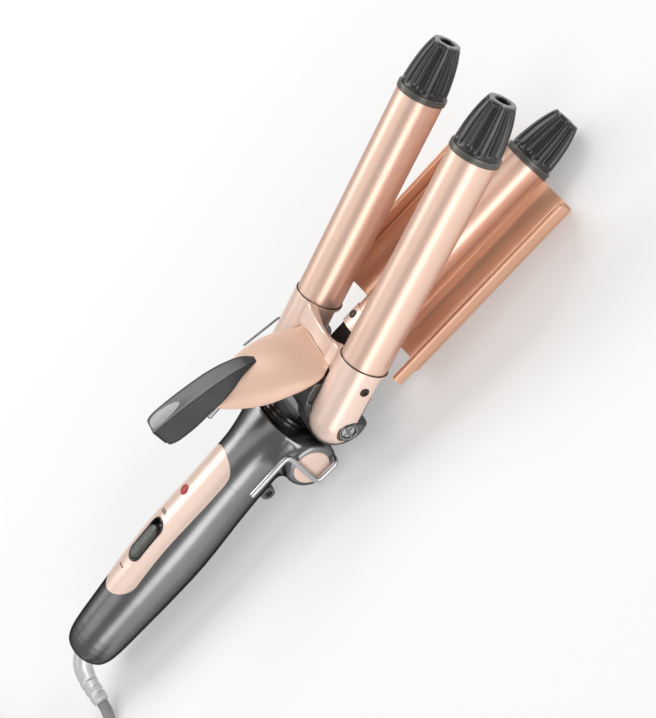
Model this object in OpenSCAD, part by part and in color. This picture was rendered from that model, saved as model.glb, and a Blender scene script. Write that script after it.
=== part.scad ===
// Hair waver with three round barrels, its jaw held part open.
//
// The parts are drawn about the jaw's pivot: +X runs forward along the centre barrel, +Y to the
// left and +Z up, on the side of the thumb lever. at_rest() then sets the whole tool down on its
// shoulder and the front of its wave plate, with z = 0 as the surface and x = 0 at mid length.

/* [Barrels] */
// Diameter of the three barrels
barrel_d = 25; // [24:0.25:25.5]
// Wall of a barrel
barrel_wall = 1.2; // [0.8:0.1:2]
// Distance between the axes of the two outer barrels
barrel_spacing = 58.5; // [58:0.25:59.5]
// Height of the outer barrels' axes over the pivot, when the jaw is shut
outer_z = 3; // [2.5:0.1:3.2]
// Pivot to the seam between an outer barrel and its sleeve
seam_x = 35.6; // [34:0.2:36]
// Pivot to the collars at the front of the barrels
collar_x = 155.5; // [150:0.5:158]
// Length of a collar
collar_len = 3.5; // [2.5:0.5:4]
// Length of a ribbed end cap
cap_len = 26; // [22:1:30]
// Radius of an end cap at its tip
cap_tip_r = 7; // [6:0.5:8]
// Number of flutes round an end cap
cap_flutes = 14; // [10:2:16]

/* [Jaw] */
// How far the jaw stands open, in degrees
open_a = 19.6; // [10:0.2:24]
// Radius of the rose gold sleeves
sleeve_r = 13.2; // [13:0.1:13.4]
// Radius of the pivot pin
pin_r = 3; // [2.5:0.25:3.5]
// Gap round everything that turns on a pin
run_gap = 0.05; // [0.02:0.01:0.08]

/* [Wave plate] */
// Gap left between an outer barrel and its trough when the jaw is shut
hair_gap = 0.6; // [0.5:0.1:0.8]
// Thickness of the plate's sheet
sheet = 0.9; // [0.8:0.1:1]
// Rear end of the plate
plate_x0 = 46; // [46:0.5:50]
// Rear end of the folded edge rails
rail_x0 = 37; // [36.5:0.5:42]
// Full width of the plate over its rails
plate_w = 91.2; // [91.2:0.2:93]

/* [Handle] */
// Length of the handle behind the neck
handle_len = 147; // [147:1:150]
// How much the handle droops behind the pivot, in degrees
droop = 3.7; // [3:0.1:4.5]
// Wall of the handle shells
shell_wall = 2.4; // [2:0.1:2.8]
// Radius of the shoulder across the neck
shoulder_r = 14; // [13.5:0.1:14.3]
// Half the width of the shoulder
shoulder_half = 29.5; // [28:0.25:29.75]

/* [Stand] */
// Diameter of the stand's wire
wire_d = 3; // [2.5:0.1:3]
// Half the distance between the stand's legs
leg_y = 32.5; // [32.25:0.25:34]

/* [Cord] */
// Diameter of the mains cord
cord_d = 6.4; // [6:0.1:6.5]
// Distance between two turns of the coil
coil_pitch = 6.9; // [6.9:0.05:7.1]

/* [Hidden] */

rose = "#e3b9a1";
peach = "#dcae93";
copper = "#b97f5e";
graphite = "#4b4b4e";
black = "#232325";
chrome = "#d8dade";

barrel_r = barrel_d / 2;
outer_y = barrel_spacing / 2;
cap_x = collar_x + collar_len;
arm_half = 11.5;
screw_x = 41;                // screw that holds the centre sleeve
cheek_y = 13.2;              // inner faces of the jaw's two cheeks
drum_r = 16.5;               // round back of the jaw, about the pivot
drum_y = 24;
pocket_r = 6.6;              // pocket that holds a torsion spring
pocket_y = 35;
barrel_x0 = 33.6;            // rear end of the outer barrels, inside their sleeves
sleeve_low = -1.5;           // a sleeve is open below this height
tray_x = 19;                 // front end of the dark tray under a sleeve

// Shoulder and stand, seen from the side as [x, z]
shoulder_at = [-31, -10.5];
foot_flat = 0.6;             // depth of the flat that the shoulder stands on
stand_pivot = [-20.4, -17.6];
stand_leg = [stand_pivot, [-35.4, -17], [-30.4, 11], [-58.3, 10.4]];

// Handle, drawn along its own axis: +Z to the rear, +X up
neck_at = [-57, -1.3];
handle_points = [
    [20, -32], [19.2, -24], [17.9, -12], [17.4, 0], [17.9, 28], [19.2, 61], [18.3, 88],
    [16.8, 113], [15.4, 133], [13.5, handle_len - 5], [10.4, handle_len - 1.2], [6, handle_len]
];
panel_span = [-1, 103];      // ends of the rose gold panel
panel_half = 12.6;
panel_rise = 0.35;
lamp_at = 31.3;
lamp_y = 2.4;
switch_at = 66;
slot_len = 29.4;
slot_w = 11.4;
knob_len = 22;
knob_w = 8.2;
knob_back = 2;               // the knob rests this far behind the slot's middle
screw_at = [19, 112];
eye_z = 9.5;                 // eye to hang the tool by, under the handle
eye_r = 2.1;
eye_y = -6;

trough_r = barrel_r + hair_gap;
saddle_r = barrel_r + 0.1;
plate_low = -(saddle_r + sheet);
rail_w = 3.2;
rail_z = [0.2, 7];
cusp_z = -1.5;               // where a trough meets the saddle under the centre barrel

// Stance: the tool rolls forward until the shoulder and the plate's front stand on one surface
stance_run = collar_x - shoulder_at[0];
stance_rise = plate_low - shoulder_at[1];
stance_r = shoulder_r - foot_flat;
rest_tilt = asin(stance_r / norm([stance_run, stance_rise])) + atan2(stance_rise, stance_run);
floor_drop = collar_x * sin(rest_tilt) - plate_low * cos(rest_tilt);
origin_x = 18;               // brings x = 0 to the middle of the tool's length

// Cord's route, from the strain relief to the coil and from the coil to the plug
relief_route = [
    [-181.8, 0, 22.5], [-187.5, -1, 22.2], [-192.5, -4.4, 20.2], [-196.1, -9.6, 16],
    [-198.3, -15, 11.4], [-199.3, -21, 7.6]
];
lead_route = [
    [-199.3, -21, 7.6], [-200.5, -26.4, 4.9], [-202.1, -31.5, 3.6], [-203.7, -36.3, 3.4],
    [-205.2, -41.1, 3.7], [-206.3, -45.9, 4.2], [-206.7, -51, 4.5]
];
tail_route = [
    [-305.3, -51, 11.4], [-304.4, -43.4, 11.1], [-302.1, -37.1, 10.3], [-299.1, -31.5, 9.2],
    [-296.2, -25.9, 8.1], [-293.9, -19.6, 7.3], [-293, -12, 7]
];
coil_at = [-256, -57];
coil_r = 49.3;               // radius of the coil's outermost turn
coil_turns = 7.5;
coil_z = 4.5;                // height of the lower layer's axis
coil_climb = 6.9;
coil_lead = 6;               // straight ends of the coil's tube
cord_r = cord_d / 2;
plug_at = [-293, -12, 7];
pin_root_r = 1.5;            // the plug's pins are thinner inside its body

// ---- Helpers ----

// Point at t on a smooth curve through the points p, where t counts the points
function curve_at(p, t) =
    let (i = min(floor(t), len(p) - 2), f = t - i)
    let (a = p[max(i - 1, 0)], b = p[i], c = p[i + 1], d = p[min(i + 2, len(p) - 1)])
    0.5 * (2 * b + (c - a) * f + (2 * a - 5 * b + 4 * c - d) * f ^ 2
        + (3 * b - a - 3 * c + d) * f ^ 3);

// The curve through p as n + 1 points
function smooth(p, n) = [for (k = [0:n]) curve_at(p, k * (len(p) - 1) / n)];

// Direction of a run of points at its point i
function heading(p, i) =
    let (d = p[min(i + 1, len(p) - 1)] - p[max(i - 1, 0)])
    d / norm(d);

// Rings round a run of points; r is one radius or one for each point
function tube_rings(p, r, sides, up = [0, 0, 1]) = [
    for (i = [0:len(p) - 1])
        let (t = heading(p, i), s = cross(up, t) / norm(cross(up, t)), n = cross(t, s))
        let (ri = is_list(r) ? r[i] : r)
        [for (k = [0:sides - 1]) p[i] + ri * (cos(360 * k / sides) * s + sin(360 * k / sides) * n)]
];

function middle(ring) = [for (p = ring) 1] * ring / len(ring);

// Closed solid through a list of rings, each counter-clockwise when seen from its far end
module skin(rings) {
    n = len(rings[0]);
    m = len(rings);
    points = [each [for (ring = rings) each ring], middle(rings[0]), middle(rings[m - 1])];
    sides = [
        for (i = [0:m - 2], j = [0:n - 1])
            let (a = i * n + j, b = i * n + (j + 1) % n, c = b + n, d = a + n)
            each [[a, c, b], [a, d, c]]
    ];
    ends = [
        for (j = [0:n - 1])
            each [
                [m * n, j, (j + 1) % n],
                [m * n + 1, (m - 1) * n + (j + 1) % n, (m - 1) * n + j]
            ]
    ];
    polyhedron(points = points, faces = concat(sides, ends));
}

// Cylinder along +X from x0 to x1
module rod_x(r, x0, x1, y = 0, z = 0) {
    translate([x0, y, z]) rotate([0, 90, 0]) cylinder(r = r, h = x1 - x0, $fn = 64);
}

// Cylinder along +Y from y0 to y1
module rod_y(r, y0, y1, x = 0, z = 0) {
    translate([x, y0, z]) rotate([-90, 0, 0]) cylinder(r = r, h = y1 - y0, $fn = 64);
}

// Extrudes an [x, z] outline along Y, from y0 to y1
module side_plate(y0, y1) {
    translate([0, y1, 0]) rotate([90, 0, 0]) linear_extrude(height = y1 - y0) children();
}

// Extrudes a [y, z] outline along X, from x0 to x1
module cross_plate(x0, x1) {
    translate([x0, 0, 0]) rotate([90, 0, 90]) linear_extrude(height = x1 - x0) children();
}

module ring_2d(r_in, r_out) {
    difference() {
        circle(r = r_out, $fn = 96);
        circle(r = r_in, $fn = 96);
    }
}

module pill_2d(length, width) {
    square([width, length - width], center = true);
    for (s = [-1, 1]) translate([0, s * (length - width) / 2]) circle(d = width, $fn = 48);
}

// ---- Placement ----

module at_rest() {
    translate([origin_x, 0, floor_drop]) rotate([0, rest_tilt, 0]) children();
}

module on_jaw() {
    at_rest() rotate([0, -open_a, 0]) children();
}

module along_handle() {
    translate([neck_at[0], 0, neck_at[1]]) rotate([0, -90 - droop, 0]) children();
}

module on_handle() {
    at_rest() along_handle() children();
}

// ---- Handle ----

// The handle's outer form grown by off, between two stations along its axis
module handle_form(off, z0, z1) {
    outline = smooth(handle_points, 33);
    intersection() {
        rotate_extrude($fn = 128)
            polygon([
                [0, outline[0][1]], for (p = outline) [max(p[0] + off, 0.5), p[1]],
                [0, outline[len(outline) - 1][1]]
            ]);
        translate([-30, -30, z0]) cube([60, 60, z1 - z0]);
    }
}

module handle_skin() {
    difference() {
        handle_form(0, -40, handle_len + 1);
        handle_form(-shell_wall, -41, handle_len - 4);
        translate([0, 0, handle_len - 6]) cylinder(r = cord_r + 2.5, h = 12, $fn = 48);
    }
}

// Outline of the rose gold panel, [y, z] on the handle: straight sides and arched ends
module panel_2d(off = 0) {
    w = panel_half + off;
    nose = 11;
    tail = 15;
    polygon([
        for (a = [0:10:180]) [w * cos(a), panel_span[0] + nose - (nose + off) * sin(a)],
        for (a = [180:10:360]) [w * cos(a), panel_span[1] - tail - (tail + off) * sin(a)]
    ]);
}

// Prism over a [y, z] outline, standing on the handle's upper side
module above_panel(x0, x1) {
    translate([x0, 0, 0]) rotate([90, 0, 90]) linear_extrude(height = x1 - x0) children();
}

module handle_upper_shell() {
    color(graphite) on_handle() difference() {
        union() {
            intersection() {
                handle_skin();
                translate([0, -30, -50]) cube([30, 60, 250]);
            }
            for (z = screw_at) intersection() {
                translate([0, 0, z]) rotate([0, 90, 0]) cylinder(r = 3.4, h = 18, $fn = 32);
                handle_form(-shell_wall + 0.3, 0, handle_len);
            }
        }
        difference() {
            intersection() {
                above_panel(5, 30) panel_2d();
                handle_form(2, -5, handle_len);
            }
            handle_form(-1.2, -6, handle_len);
        }
        above_panel(5, 30) translate([0, switch_at]) pill_2d(slot_len - 2, slot_w - 2);
        translate([0, lamp_y, lamp_at]) rotate([0, 90, 0]) cylinder(r = 2.35, h = 30, $fn = 32);
        for (z = screw_at)
            translate([-1, 0, z]) rotate([0, 90, 0]) cylinder(r = 1.3, h = 7, $fn = 32);
    }
}

module handle_lower_shell() {
    color(graphite) on_handle() difference() {
        union() {
            intersection() {
                handle_skin();
                translate([-30, -30, -50]) cube([30, 60, 250]);
            }
            for (z = screw_at) intersection() {
                translate([-18, 0, z]) rotate([0, 90, 0]) cylinder(r = 4.4, h = 18, $fn = 32);
                handle_form(-shell_wall + 0.3, 0, handle_len);
            }
            difference() {
                translate([-19.7, 0, eye_z]) rod_y(4, eye_y - 1.8, eye_y + 1.8);
                handle_form(-0.6, -5, handle_len);
            }
        }
        translate([-20.2, 0, eye_z]) rod_y(eye_r, eye_y - 3, eye_y + 3);
        for (z = screw_at) {
            translate([-20, 0, z]) rotate([0, 90, 0]) cylinder(r = 2.7, h = 6, $fn = 32);
            translate([-20, 0, z]) rotate([0, 90, 0]) cylinder(r = 1.5, h = 21, $fn = 32);
        }
    }
}

module inset_panel() {
    color(rose) on_handle() difference() {
        intersection() {
            above_panel(5, 30) panel_2d(-0.15);
            handle_form(panel_rise, -5, handle_len);
        }
        handle_form(-1.15, -6, handle_len);
        above_panel(5, 30) translate([0, switch_at]) pill_2d(slot_len, slot_w);
        translate([0, lamp_y, lamp_at]) rotate([0, 90, 0]) cylinder(r = 2.35, h = 30, $fn = 32);
    }
}

module lamp_lens() {
    color("crimson") on_handle() translate([14.9, lamp_y, lamp_at]) rotate([0, 90, 0])
        rotate_extrude($fn = 48)
            polygon([[0, 0], [2.3, 0], [2.3, 2.95], [1.9, 3.55], [1.1, 3.9], [0, 4]]);
}

// Dark pill-shaped tray that the slide switch runs in
module switch_bezel() {
    color(black) on_handle() difference() {
        union() {
            intersection() {
                above_panel(15.6, 30) translate([0, switch_at])
                    pill_2d(slot_len - 0.1, slot_w - 0.1);
                difference() {
                    handle_form(panel_rise + 0.25, 0, handle_len);
                    handle_form(-1.1, -1, handle_len + 1);
                }
            }
            above_panel(15.2, 18.3) translate([0, switch_at])
                pill_2d(slot_len - 2.1, slot_w - 2.1);
        }
        above_panel(16.2, 22) translate([0, switch_at]) pill_2d(slot_len - 3, slot_w - 2.6);
        above_panel(14, 20) translate([0, switch_at]) square([3, 14], center = true);
    }
}

module switch_body() {
    color("dimgray") on_handle() difference() {
        translate([9.6, -4.4, switch_at - 10]) cube([5.5, 8.8, 20]);
        translate([11, -1.6, switch_at - 6]) cube([5, 3.2, 12]);
    }
}

module switch_knob() {
    z = switch_at + knob_back;
    color(black) on_handle() difference() {
        union() {
            above_panel(16.3, 20.3) translate([0, z]) pill_2d(knob_len, knob_w);
            translate([11.4, -1.2, z - 2.5]) cube([5.2, 2.4, 3]);
        }
        for (k = [-3:3]) translate([21, 0, z + 2.6 * k]) rod_y(1.3, -6, 6);
    }
}

module circuit_board() {
    color("seagreen") on_handle() {
        translate([6, -9, 24]) cube([1.6, 18, 76]);
        translate([7.6, -5, 80]) cube([6, 10, 15]);
        translate([-4, -6, 36]) cube([10, 12, 16]);
        translate([7.6, 0, lamp_at]) rotate([0, 90, 0]) cylinder(r = 1.5, h = 6.5, $fn = 24);
        for (z = [62, 72, 82]) translate([-2.5, 0, z]) rotate([0, 90, 0])
            cylinder(r = 3.2, h = 8.5, $fn = 24);
        translate([7.6, -3.5, switch_at - 8]) cube([2, 7, 16]);
    }
}

module cord_clamp() {
    color("gainsboro") on_handle() difference() {
        translate([-5, -8, 126]) cube([10, 16, 7]);
        translate([0, 0, 120]) cylinder(r = cord_r + 0.1, h = 20, $fn = 32);
    }
}

// End of the cord's sheath, two leads from it to the board and two from the board to the neck
module wiring_harness() {
    color("white") on_handle() translate([0, 0, 123.5]) cylinder(r = cord_r, h = 17, $fn = 32);
    color("white") on_handle() for (s = [-1, 1]) {
        skin(tube_rings(smooth([
            [0.5, 1.6 * s, 125], [0.8, 2.4 * s, 121.5], [2.4, 7 * s, 114], [4.4, 7 * s, 106],
            [4.6, 6 * s, 98]
        ], 9), 1.2, 8, [1, 0, 0]));
        skin(tube_rings(smooth([
            [4.6, 6 * s, 30], [3, 8 * s, 16], [8, 9.5 * s, 2], [10.5, 8.5 * s, -14], [11, 8 * s, -23.8]
        ], 10), 1.2, 8, [1, 0, 0]));
    }
}

module handle_screws() {
    color("silver") on_handle() for (z = screw_at) translate([-16.2, 0, z]) rotate([0, 90, 0]) {
        cylinder(r = 2.5, h = 2.1, $fn = 32);
        cylinder(r = 1.25, h = 19, $fn = 32);
    }
}

// ---- Neck and centre arm ----

// Body of revolution across the neck, with rounded ends
module shoulder_form() {
    edge = 7;
    translate([shoulder_at[0], 0, shoulder_at[1]]) rotate([-90, 0, 0])
        rotate_extrude($fn = 96)
            polygon([
                [0, -shoulder_half],
                for (a = [0:15:90])
                    [shoulder_r - 3 + 3 * sin(a), -shoulder_half + edge - edge * cos(a)],
                for (a = [90:15:180])
                    [shoulder_r - 3 + 3 * sin(a), shoulder_half - edge - edge * cos(a)],
                [0, shoulder_half]
            ]);
}

module shoulder_housing() {
    color(graphite) at_rest() difference() {
        shoulder_form();
        along_handle() handle_form(0.02, -40, 20);
        for (s = [-1, 1]) rod_y(10.1, s * shoulder_half - 1, s * shoulder_half + 1,
            shoulder_at[0], shoulder_at[1] + 0.8);
        rod_y(wire_d / 2 + run_gap, -40, 40, stand_pivot[0], stand_pivot[1]);
        rotate([0, -rest_tilt, 0]) translate([-100, -50, -floor_drop - 10]) cube([100, 100, 10]);
        translate([-46, -arm_half - 0.05, -12.95]) cube([40, 2 * arm_half + 0.1, 21.2]);
    }
}

module side_cap(s) {
    color(rose) at_rest()
        translate([shoulder_at[0], s * (shoulder_half - 0.95), shoulder_at[1] + 0.8])
            rotate([-90 * s, 0, 0]) rotate_extrude($fn = 96)
                polygon([[0, 0], [10, 0], [10, 1.1], [9.6, 1.5], [7.4, 1.8], [4, 1.95], [0, 2]]);
}

module left_side_cap() {
    side_cap(1);
}

module right_side_cap() {
    side_cap(-1);
}

// Dark arm that runs from inside the neck, past the pivot, into the centre sleeve
module centre_arm() {
    color(black) at_rest() difference() {
        union() {
            side_plate(-arm_half, arm_half)
                polygon([
                    [-33, -12], [-20, -12.8], [-4, -12], [34, -11], [34.45, -10.5], [34.45, 6],
                    [4, 6.2], [-3, 5.4], [-8, 4.4], [-20, 4.4], [-24, 8], [-33, 8]
                ]);
            rod_x(barrel_r - barrel_wall - 0.05, 34.2, 47);
            along_handle() handle_form(-shell_wall - 0.05, -27, -24);
        }
        rod_y(pin_r + 0.02, -20, 20);
        for (s = [-1, 1]) translate([-46, s * 8 - 2, 7]) cube([26, 4, 6]);
        translate([screw_x, 2.5, 8]) cylinder(r = 1.5, h = 10, $fn = 32);
    }
}

module pivot_pin() {
    color(chrome) at_rest() difference() {
        union() {
            rod_y(pin_r, -39, 39);
            for (s = [-1, 1]) rod_y(pin_r + 0.4, s * 39.75 - 0.75, s * 39.75 + 0.75);
        }
        for (s = [-1, 1]) translate([-5, s * 40.5 - 0.6, -0.5]) cube([10, 1.2, 1]);
    }
}

module centre_sleeve() {
    color(rose) at_rest() difference() {
        rod_x(sleeve_r, 34.5, plate_x0 - 0.5);
        rod_x(barrel_r + run_gap, 37, plate_x0);
        rod_x(arm_half, 34, 38);
        translate([screw_x, 2.5, 8]) cylinder(r = 1.55, h = 10, $fn = 32);
        translate([screw_x, 2.5, 12.75]) cylinder(r = 2.4, h = 10, $fn = 32);
    }
}

module centre_screw() {
    color("dimgray") at_rest() translate([screw_x, 2.5, 0]) {
        translate([0, 0, 8.1]) cylinder(r = 1.48, h = 5, $fn = 32);
        translate([0, 0, 12.8]) cylinder(r = 2.3, h = 0.8, $fn = 32);
    }
}

// ---- Barrels ----

module barrel(x0) {
    difference() {
        rod_x(barrel_r, x0, collar_x + 1);
        rod_x(barrel_r - barrel_wall, x0 - 1, collar_x + 2);
    }
}

// Ceramic heater between two aluminium half shells
module heater() {
    intersection() {
        rod_x(barrel_r - barrel_wall - 0.1, 62, 144);
        union() {
            for (s = [-1, 1]) translate([60, -15, s * 7.8 - 6]) cube([90, 30, 12]);
            translate([60, -5, -1.8]) cube([90, 10, 3.6]);
        }
    }
}

module collar() {
    difference() {
        rod_x(barrel_r + 0.7, collar_x, cap_x);
        rod_x(barrel_r + 0.02, collar_x - 1, collar_x + 1);
        rod_x(barrel_r - 3, collar_x, cap_x + 1);
    }
}

// Outline of a cap as [radius, share of the length], before the flutes are cut
cap_points = [[12.2, 0], [11.9, 0.18], [11.1, 0.42], [9.9, 0.66], [8.4, 0.86], [cap_tip_r, 1]];

module cap() {
    outline = smooth(cap_points, 8);
    step = 360 / (cap_flutes * 4);
    difference() {
        skin([
            for (i = [0:8])
                let (depth = (i == 0 || i == 8) ? 0 : 0.75)
                [
                    for (k = [0:cap_flutes * 4 - 1])
                        let (r = outline[i][0] - depth * [0, 0, 0.75, 0.75][k % 4])
                        [cap_x + outline[i][1] * cap_len, r * cos(k * step), r * sin(k * step)]
                ]
        ]);
        rod_x(3.6, cap_x + cap_len - 7, cap_x + cap_len + 1);
    }
}

module at_outer(s) {
    on_jaw() translate([0, s * outer_y, outer_z]) children();
}

module centre_barrel() {
    color(rose) at_rest() difference() {
        barrel(38);
        translate([screw_x, 2.5, 8]) cylinder(r = 1.5, h = 10, $fn = 32);
    }
}

module centre_heater() {
    color("lightgray") at_rest() heater();
}

module centre_collar() {
    color(graphite) at_rest() collar();
}

module centre_cap() {
    color(black) at_rest() cap();
}

module outer_barrel(s) {
    color(rose) at_outer(s) barrel(barrel_x0);
}

module left_barrel() {
    outer_barrel(1);
}

module right_barrel() {
    outer_barrel(-1);
}

module left_heater() {
    color("lightgray") at_outer(1) heater();
}

module right_heater() {
    color("lightgray") at_outer(-1) heater();
}

module left_collar() {
    color(graphite) at_outer(1) collar();
}

module right_collar() {
    color(graphite) at_outer(-1) collar();
}

module left_cap() {
    color(black) at_outer(1) cap();
}

module right_cap() {
    color(black) at_outer(-1) cap();
}

// ---- Wave plate ----

module wave_plate() {
    side = plate_w / 2 - rail_w;
    color(copper) at_rest() cross_plate(plate_x0, collar_x - 0.2) {
        difference() {
            ring_2d(saddle_r, saddle_r + sheet);
            translate([-20, cusp_z]) square([40, 20]);
        }
        for (s = [0, 1]) mirror([s, 0]) {
            difference() {
                translate([outer_y, outer_z]) ring_2d(trough_r, trough_r + sheet);
                translate([-60, cusp_z]) square([120, 30]);
            }
            polygon([[12.8, cusp_z - 0.9], [16.4, cusp_z - 0.9], [16.9, cusp_z], [12.6, cusp_z]]);
            polygon([
                [side - 0.6, cusp_z - 1], [side + 0.6, cusp_z - 1], [side + 1.4, rail_z[0] - 0.02],
                [side + 0.1, rail_z[0] - 0.02], [side - 0.4, cusp_z + 0.4]
            ]);
        }
    }
}

// Folded hem along an edge of the plate; it starts further back than the plate does
module edge_rail(s) {
    y = s * (plate_w / 2 - rail_w / 2);
    color(copper) at_rest() cross_plate(rail_x0, collar_x - 0.2) difference() {
        translate([y, (rail_z[0] + rail_z[1]) / 2]) pill_2d(rail_z[1] - rail_z[0], rail_w - 0.01);
        translate([y - s * 1.3, rail_z[1] - 2.2]) circle(r = 0.5, $fn = 24);
    }
}

module left_edge_rail() {
    edge_rail(1);
}

module right_edge_rail() {
    edge_rail(-1);
}

// ---- Jaw ----

// Everything that the two outer sleeves fill, grown by off
module sleeve_forms(off = 0) {
    for (s = [-1, 1]) translate([0, s * outer_y, outer_z]) {
        rod_x(sleeve_r + off, 0, seam_x + off);
        sphere(r = sleeve_r + off, $fn = 96);
    }
}

module clamp_housing() {
    color(black) on_jaw() difference() {
        union() {
            for (s = [-1, 1]) mirror([0, s < 0 ? 1 : 0, 0]) {
                difference() {
                    union() {
                        rod_y(drum_r, cheek_y, drum_y);
                        rotate([-90, 0, 0]) rotate_extrude($fn = 96) polygon([
                            [0, drum_y - 0.5], [drum_r - 0.3, drum_y - 0.5], [drum_r - 0.3, 28],
                            [15.9, 30.4], [15, 32.6], [13.4, 34.2], [11.4, 34.8], [0, 34.8]
                        ]);
                    }
                    translate([1, 0, -30]) cube([30, 60, 60]);
                    for (y = [16.6, 20.6]) translate([0, y, 0]) rotate([-90, 0, 0])
                        rotate_extrude($fn = 96) translate([drum_r, 0]) circle(r = 0.7, $fn = 16);
                }
                side_plate(cheek_y, 22)
                    polygon([[-8, 14], [-2, 17], [6, 18.5], [13, 18], [15, 9], [12, 0], [4, -7], [0, -7]]);
                difference() {
                    union() {
                        difference() {
                            rod_x(sleeve_r + 1.3, -3, tray_x, outer_y, outer_z);
                            translate([-5, outer_y, -20]) cube([30, 30, 60]);
                        }
                        rod_x(11.6, -3, tray_x, outer_y, outer_z);
                    }
                    translate([-5, 0, sleeve_low - 0.05]) cube([30, 60, 30]);
                }
            }
            difference() {
                side_plate(-cheek_y - 0.5, cheek_y + 0.5) difference() {
                    circle(r = drum_r - 0.25, $fn = 96);
                    circle(r = 13.4, $fn = 96);
                    translate([-40, -40]) square([80, 53]);
                    translate([5, -1]) square([40, 40]);
                    translate([-46.4, -1]) square([40, 40]);
                }
            }
        }
        intersection() {
            sleeve_forms(0.04);
            translate([-40, -60, sleeve_low - 0.05]) cube([100, 120, 60]);
        }
        rod_y(pin_r + run_gap, -50, 50);
        for (s = [-1, 1]) rod_y(pocket_r, min(s * pocket_y, s * 50), max(s * pocket_y, s * 50));
    }
}

// Both outer sleeves and the bridge between them, one moulding
module sleeve_bridge() {
    color(rose) on_jaw() difference() {
        union() {
            difference() {
                union() {
                    sleeve_forms();
                    difference() {
                        union() {
                            translate([21, -20, 9.6]) cube([14.6, 40, 2.6]);
                            translate([24, -20, 9.6]) cube([11.6, 40, 5.4]);
                        }
                        rod_x(40, 20, 40, 0, 52.25);
                        translate([65.6, 0, 0]) cylinder(r = 34, h = 20, $fn = 128);
                    }
                }
                translate([-30, -60, -30]) cube([barrel_x0 + 29.8, 120, 30 + sleeve_low]);
                for (s = [-1, 1])
                    rod_x(barrel_r + run_gap, barrel_x0 - 0.1, seam_x + 1, s * outer_y, outer_z);
            }
            for (s = [-1, 1])
                rod_x(barrel_r - barrel_wall - run_gap, tray_x + 0.05, 46, s * outer_y, outer_z);
        }
        for (s = [-1, 1]) {
            rod_x(8.8, 12, 47, s * outer_y, outer_z);
            rod_y(pocket_r, min(s * pocket_y, s * 50), max(s * pocket_y, s * 50));
            rod_y(2.5, min(s * 42, s * 50), max(s * 42, s * 50), 25.5, outer_z + 1);
            rod_y(1.55, min(s * 39, s * 50), max(s * 39, s * 50), 25.5, outer_z + 1);
        }
        rod_y(pin_r + run_gap, -50, 50);
        translate([-20, -cheek_y - 2.9, -20]) cube([60, 2 * cheek_y + 5.8, 29.6]);
    }
}

module sleeve_screws() {
    color("dimgray") on_jaw() for (s = [-1, 1]) {
        rod_y(2.4, min(s * 42.05, s * 42.8), max(s * 42.05, s * 42.8), 25.5, outer_z + 1);
        rod_y(1.48, min(s * 39.2, s * 42.3), max(s * 39.2, s * 42.3), 25.5, outer_z + 1);
    }
}

// The dome from the bridge up to the lever: [x, z] of the middle, then [x, y, z] of the edge
dome_rows = [
    [[22, 12.1], [23, 17.5, 12.6]],
    [[20.4, 19], [16.5, 21, 15.4]],
    [[17.6, 29], [9.6, 22.4, 22.6]],
    [[13.4, 37], [3.4, 21.6, 29.2]],
    [[8, 44], [-3, 19.6, 35]],
    [[1.5, 50], [-9.4, 16.2, 41.6]],
    [[-6.5, 55], [-14.8, 12, 49.6]],
    [[-14.5, 58.6], [-17.8, 8.6, 56.6]]
];

// Point of the dome in row u at t, from -1 on the right to 1 on the left; sunk moves it inwards
function dome_point(u, t, sunk) =
    let (c = curve_at([for (r = dome_rows) r[0]], u), e = curve_at([for (r = dome_rows) r[1]], u))
    let (b = t ^ 2, w = e[1] - 0.7 * sunk, f = sin(90 * t))
    [
        c[0] + (e[0] - c[0]) * b - 0.8 * sunk * (1 - 0.6 * b), w * f,
        c[1] + (e[2] - c[1]) * b - 0.6 * sunk * (1 - 0.6 * b)
    ];

module dome_form(sunk0, sunk1) {
    rows = 14;
    skin([
        for (i = [0:rows])
            let (u = i * (len(dome_rows) - 1) / rows)
            concat(
                [for (k = [-6:6]) dome_point(u, k / 6, sunk0)],
                [for (k = [6:-1:-6]) dome_point(u, k / 6, sunk1)]
            )
    ]);
}

module dome_cover() {
    color(peach) on_jaw() difference() {
        dome_form(0, 2.4);
        sleeve_forms(0.04);
        translate([-30, -30, -30]) cube([60, 60, 42.23]);
    }
}

// The lever from its root on the dome to its tip: top [x, z], half width on top, at the
// bottom, and depth
lever_rows = [
    [[9.6, 42.6], 0.8, 1.6, 1.2],
    [[7, 48.4], 3.2, 5, 4],
    [[1.4, 55], 5, 8.4, 6.4],
    [[-6, 61.4], 5.9, 10.8, 8.4],
    [[-13.6, 66.8], 6.2, 11.3, 9.7],
    [[-23, 73], 6.3, 12, 11],
    [[-33, 79.2], 6.3, 12, 11],
    [[-38.4, 82], 5.6, 11, 9.6],
    [[-40, 82], 4.6, 9.6, 7.6]
];

function lever_ring(u) =
    let (r = curve_at([for (q = lever_rows) [each q[0], q[1], q[2], q[3]]], u))
    let (a = curve_at([for (q = lever_rows) q[0]], max(u - 0.05, 0)))
    let (b = curve_at([for (q = lever_rows) q[0]], min(u + 0.05, len(lever_rows) - 1)))
    let (t = (b - a) / norm(b - a), n = [t[1], -t[0]] * (u > 6.5 ? 1 : 1))
    let (down = [-n[0], -n[1]], h = r[4])
    [
        for (q = [
            [r[2], 0.35], [r[2] + 0.5, 0.8], [r[3] - 0.5, 0.86 * h], [r[3] - 1, h],
            [-r[3] + 1, h], [-r[3] + 0.5, 0.86 * h], [-r[2] - 0.5, 0.8], [-r[2], 0.35],
            [-r[2] * 0.5, 0], [r[2] * 0.5, 0]
        ])
            [r[0] + down[0] * q[1], q[0], r[1] + down[1] * q[1]]
    ];

module thumb_lever() {
    color(graphite) on_jaw() difference() {
        skin([for (u = [0:0.5:len(lever_rows) - 1]) lever_ring(u)]);
        dome_form(-0.03, 11.8);
        dome_form(0, 2.4);
    }
}

// Torsion spring at one end of the pin: a coil and a straight leg
spring_r = 5;
spring_wire = 1.4;
spring_turns = 3.25;
spring_pitch = 1.85;

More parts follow.
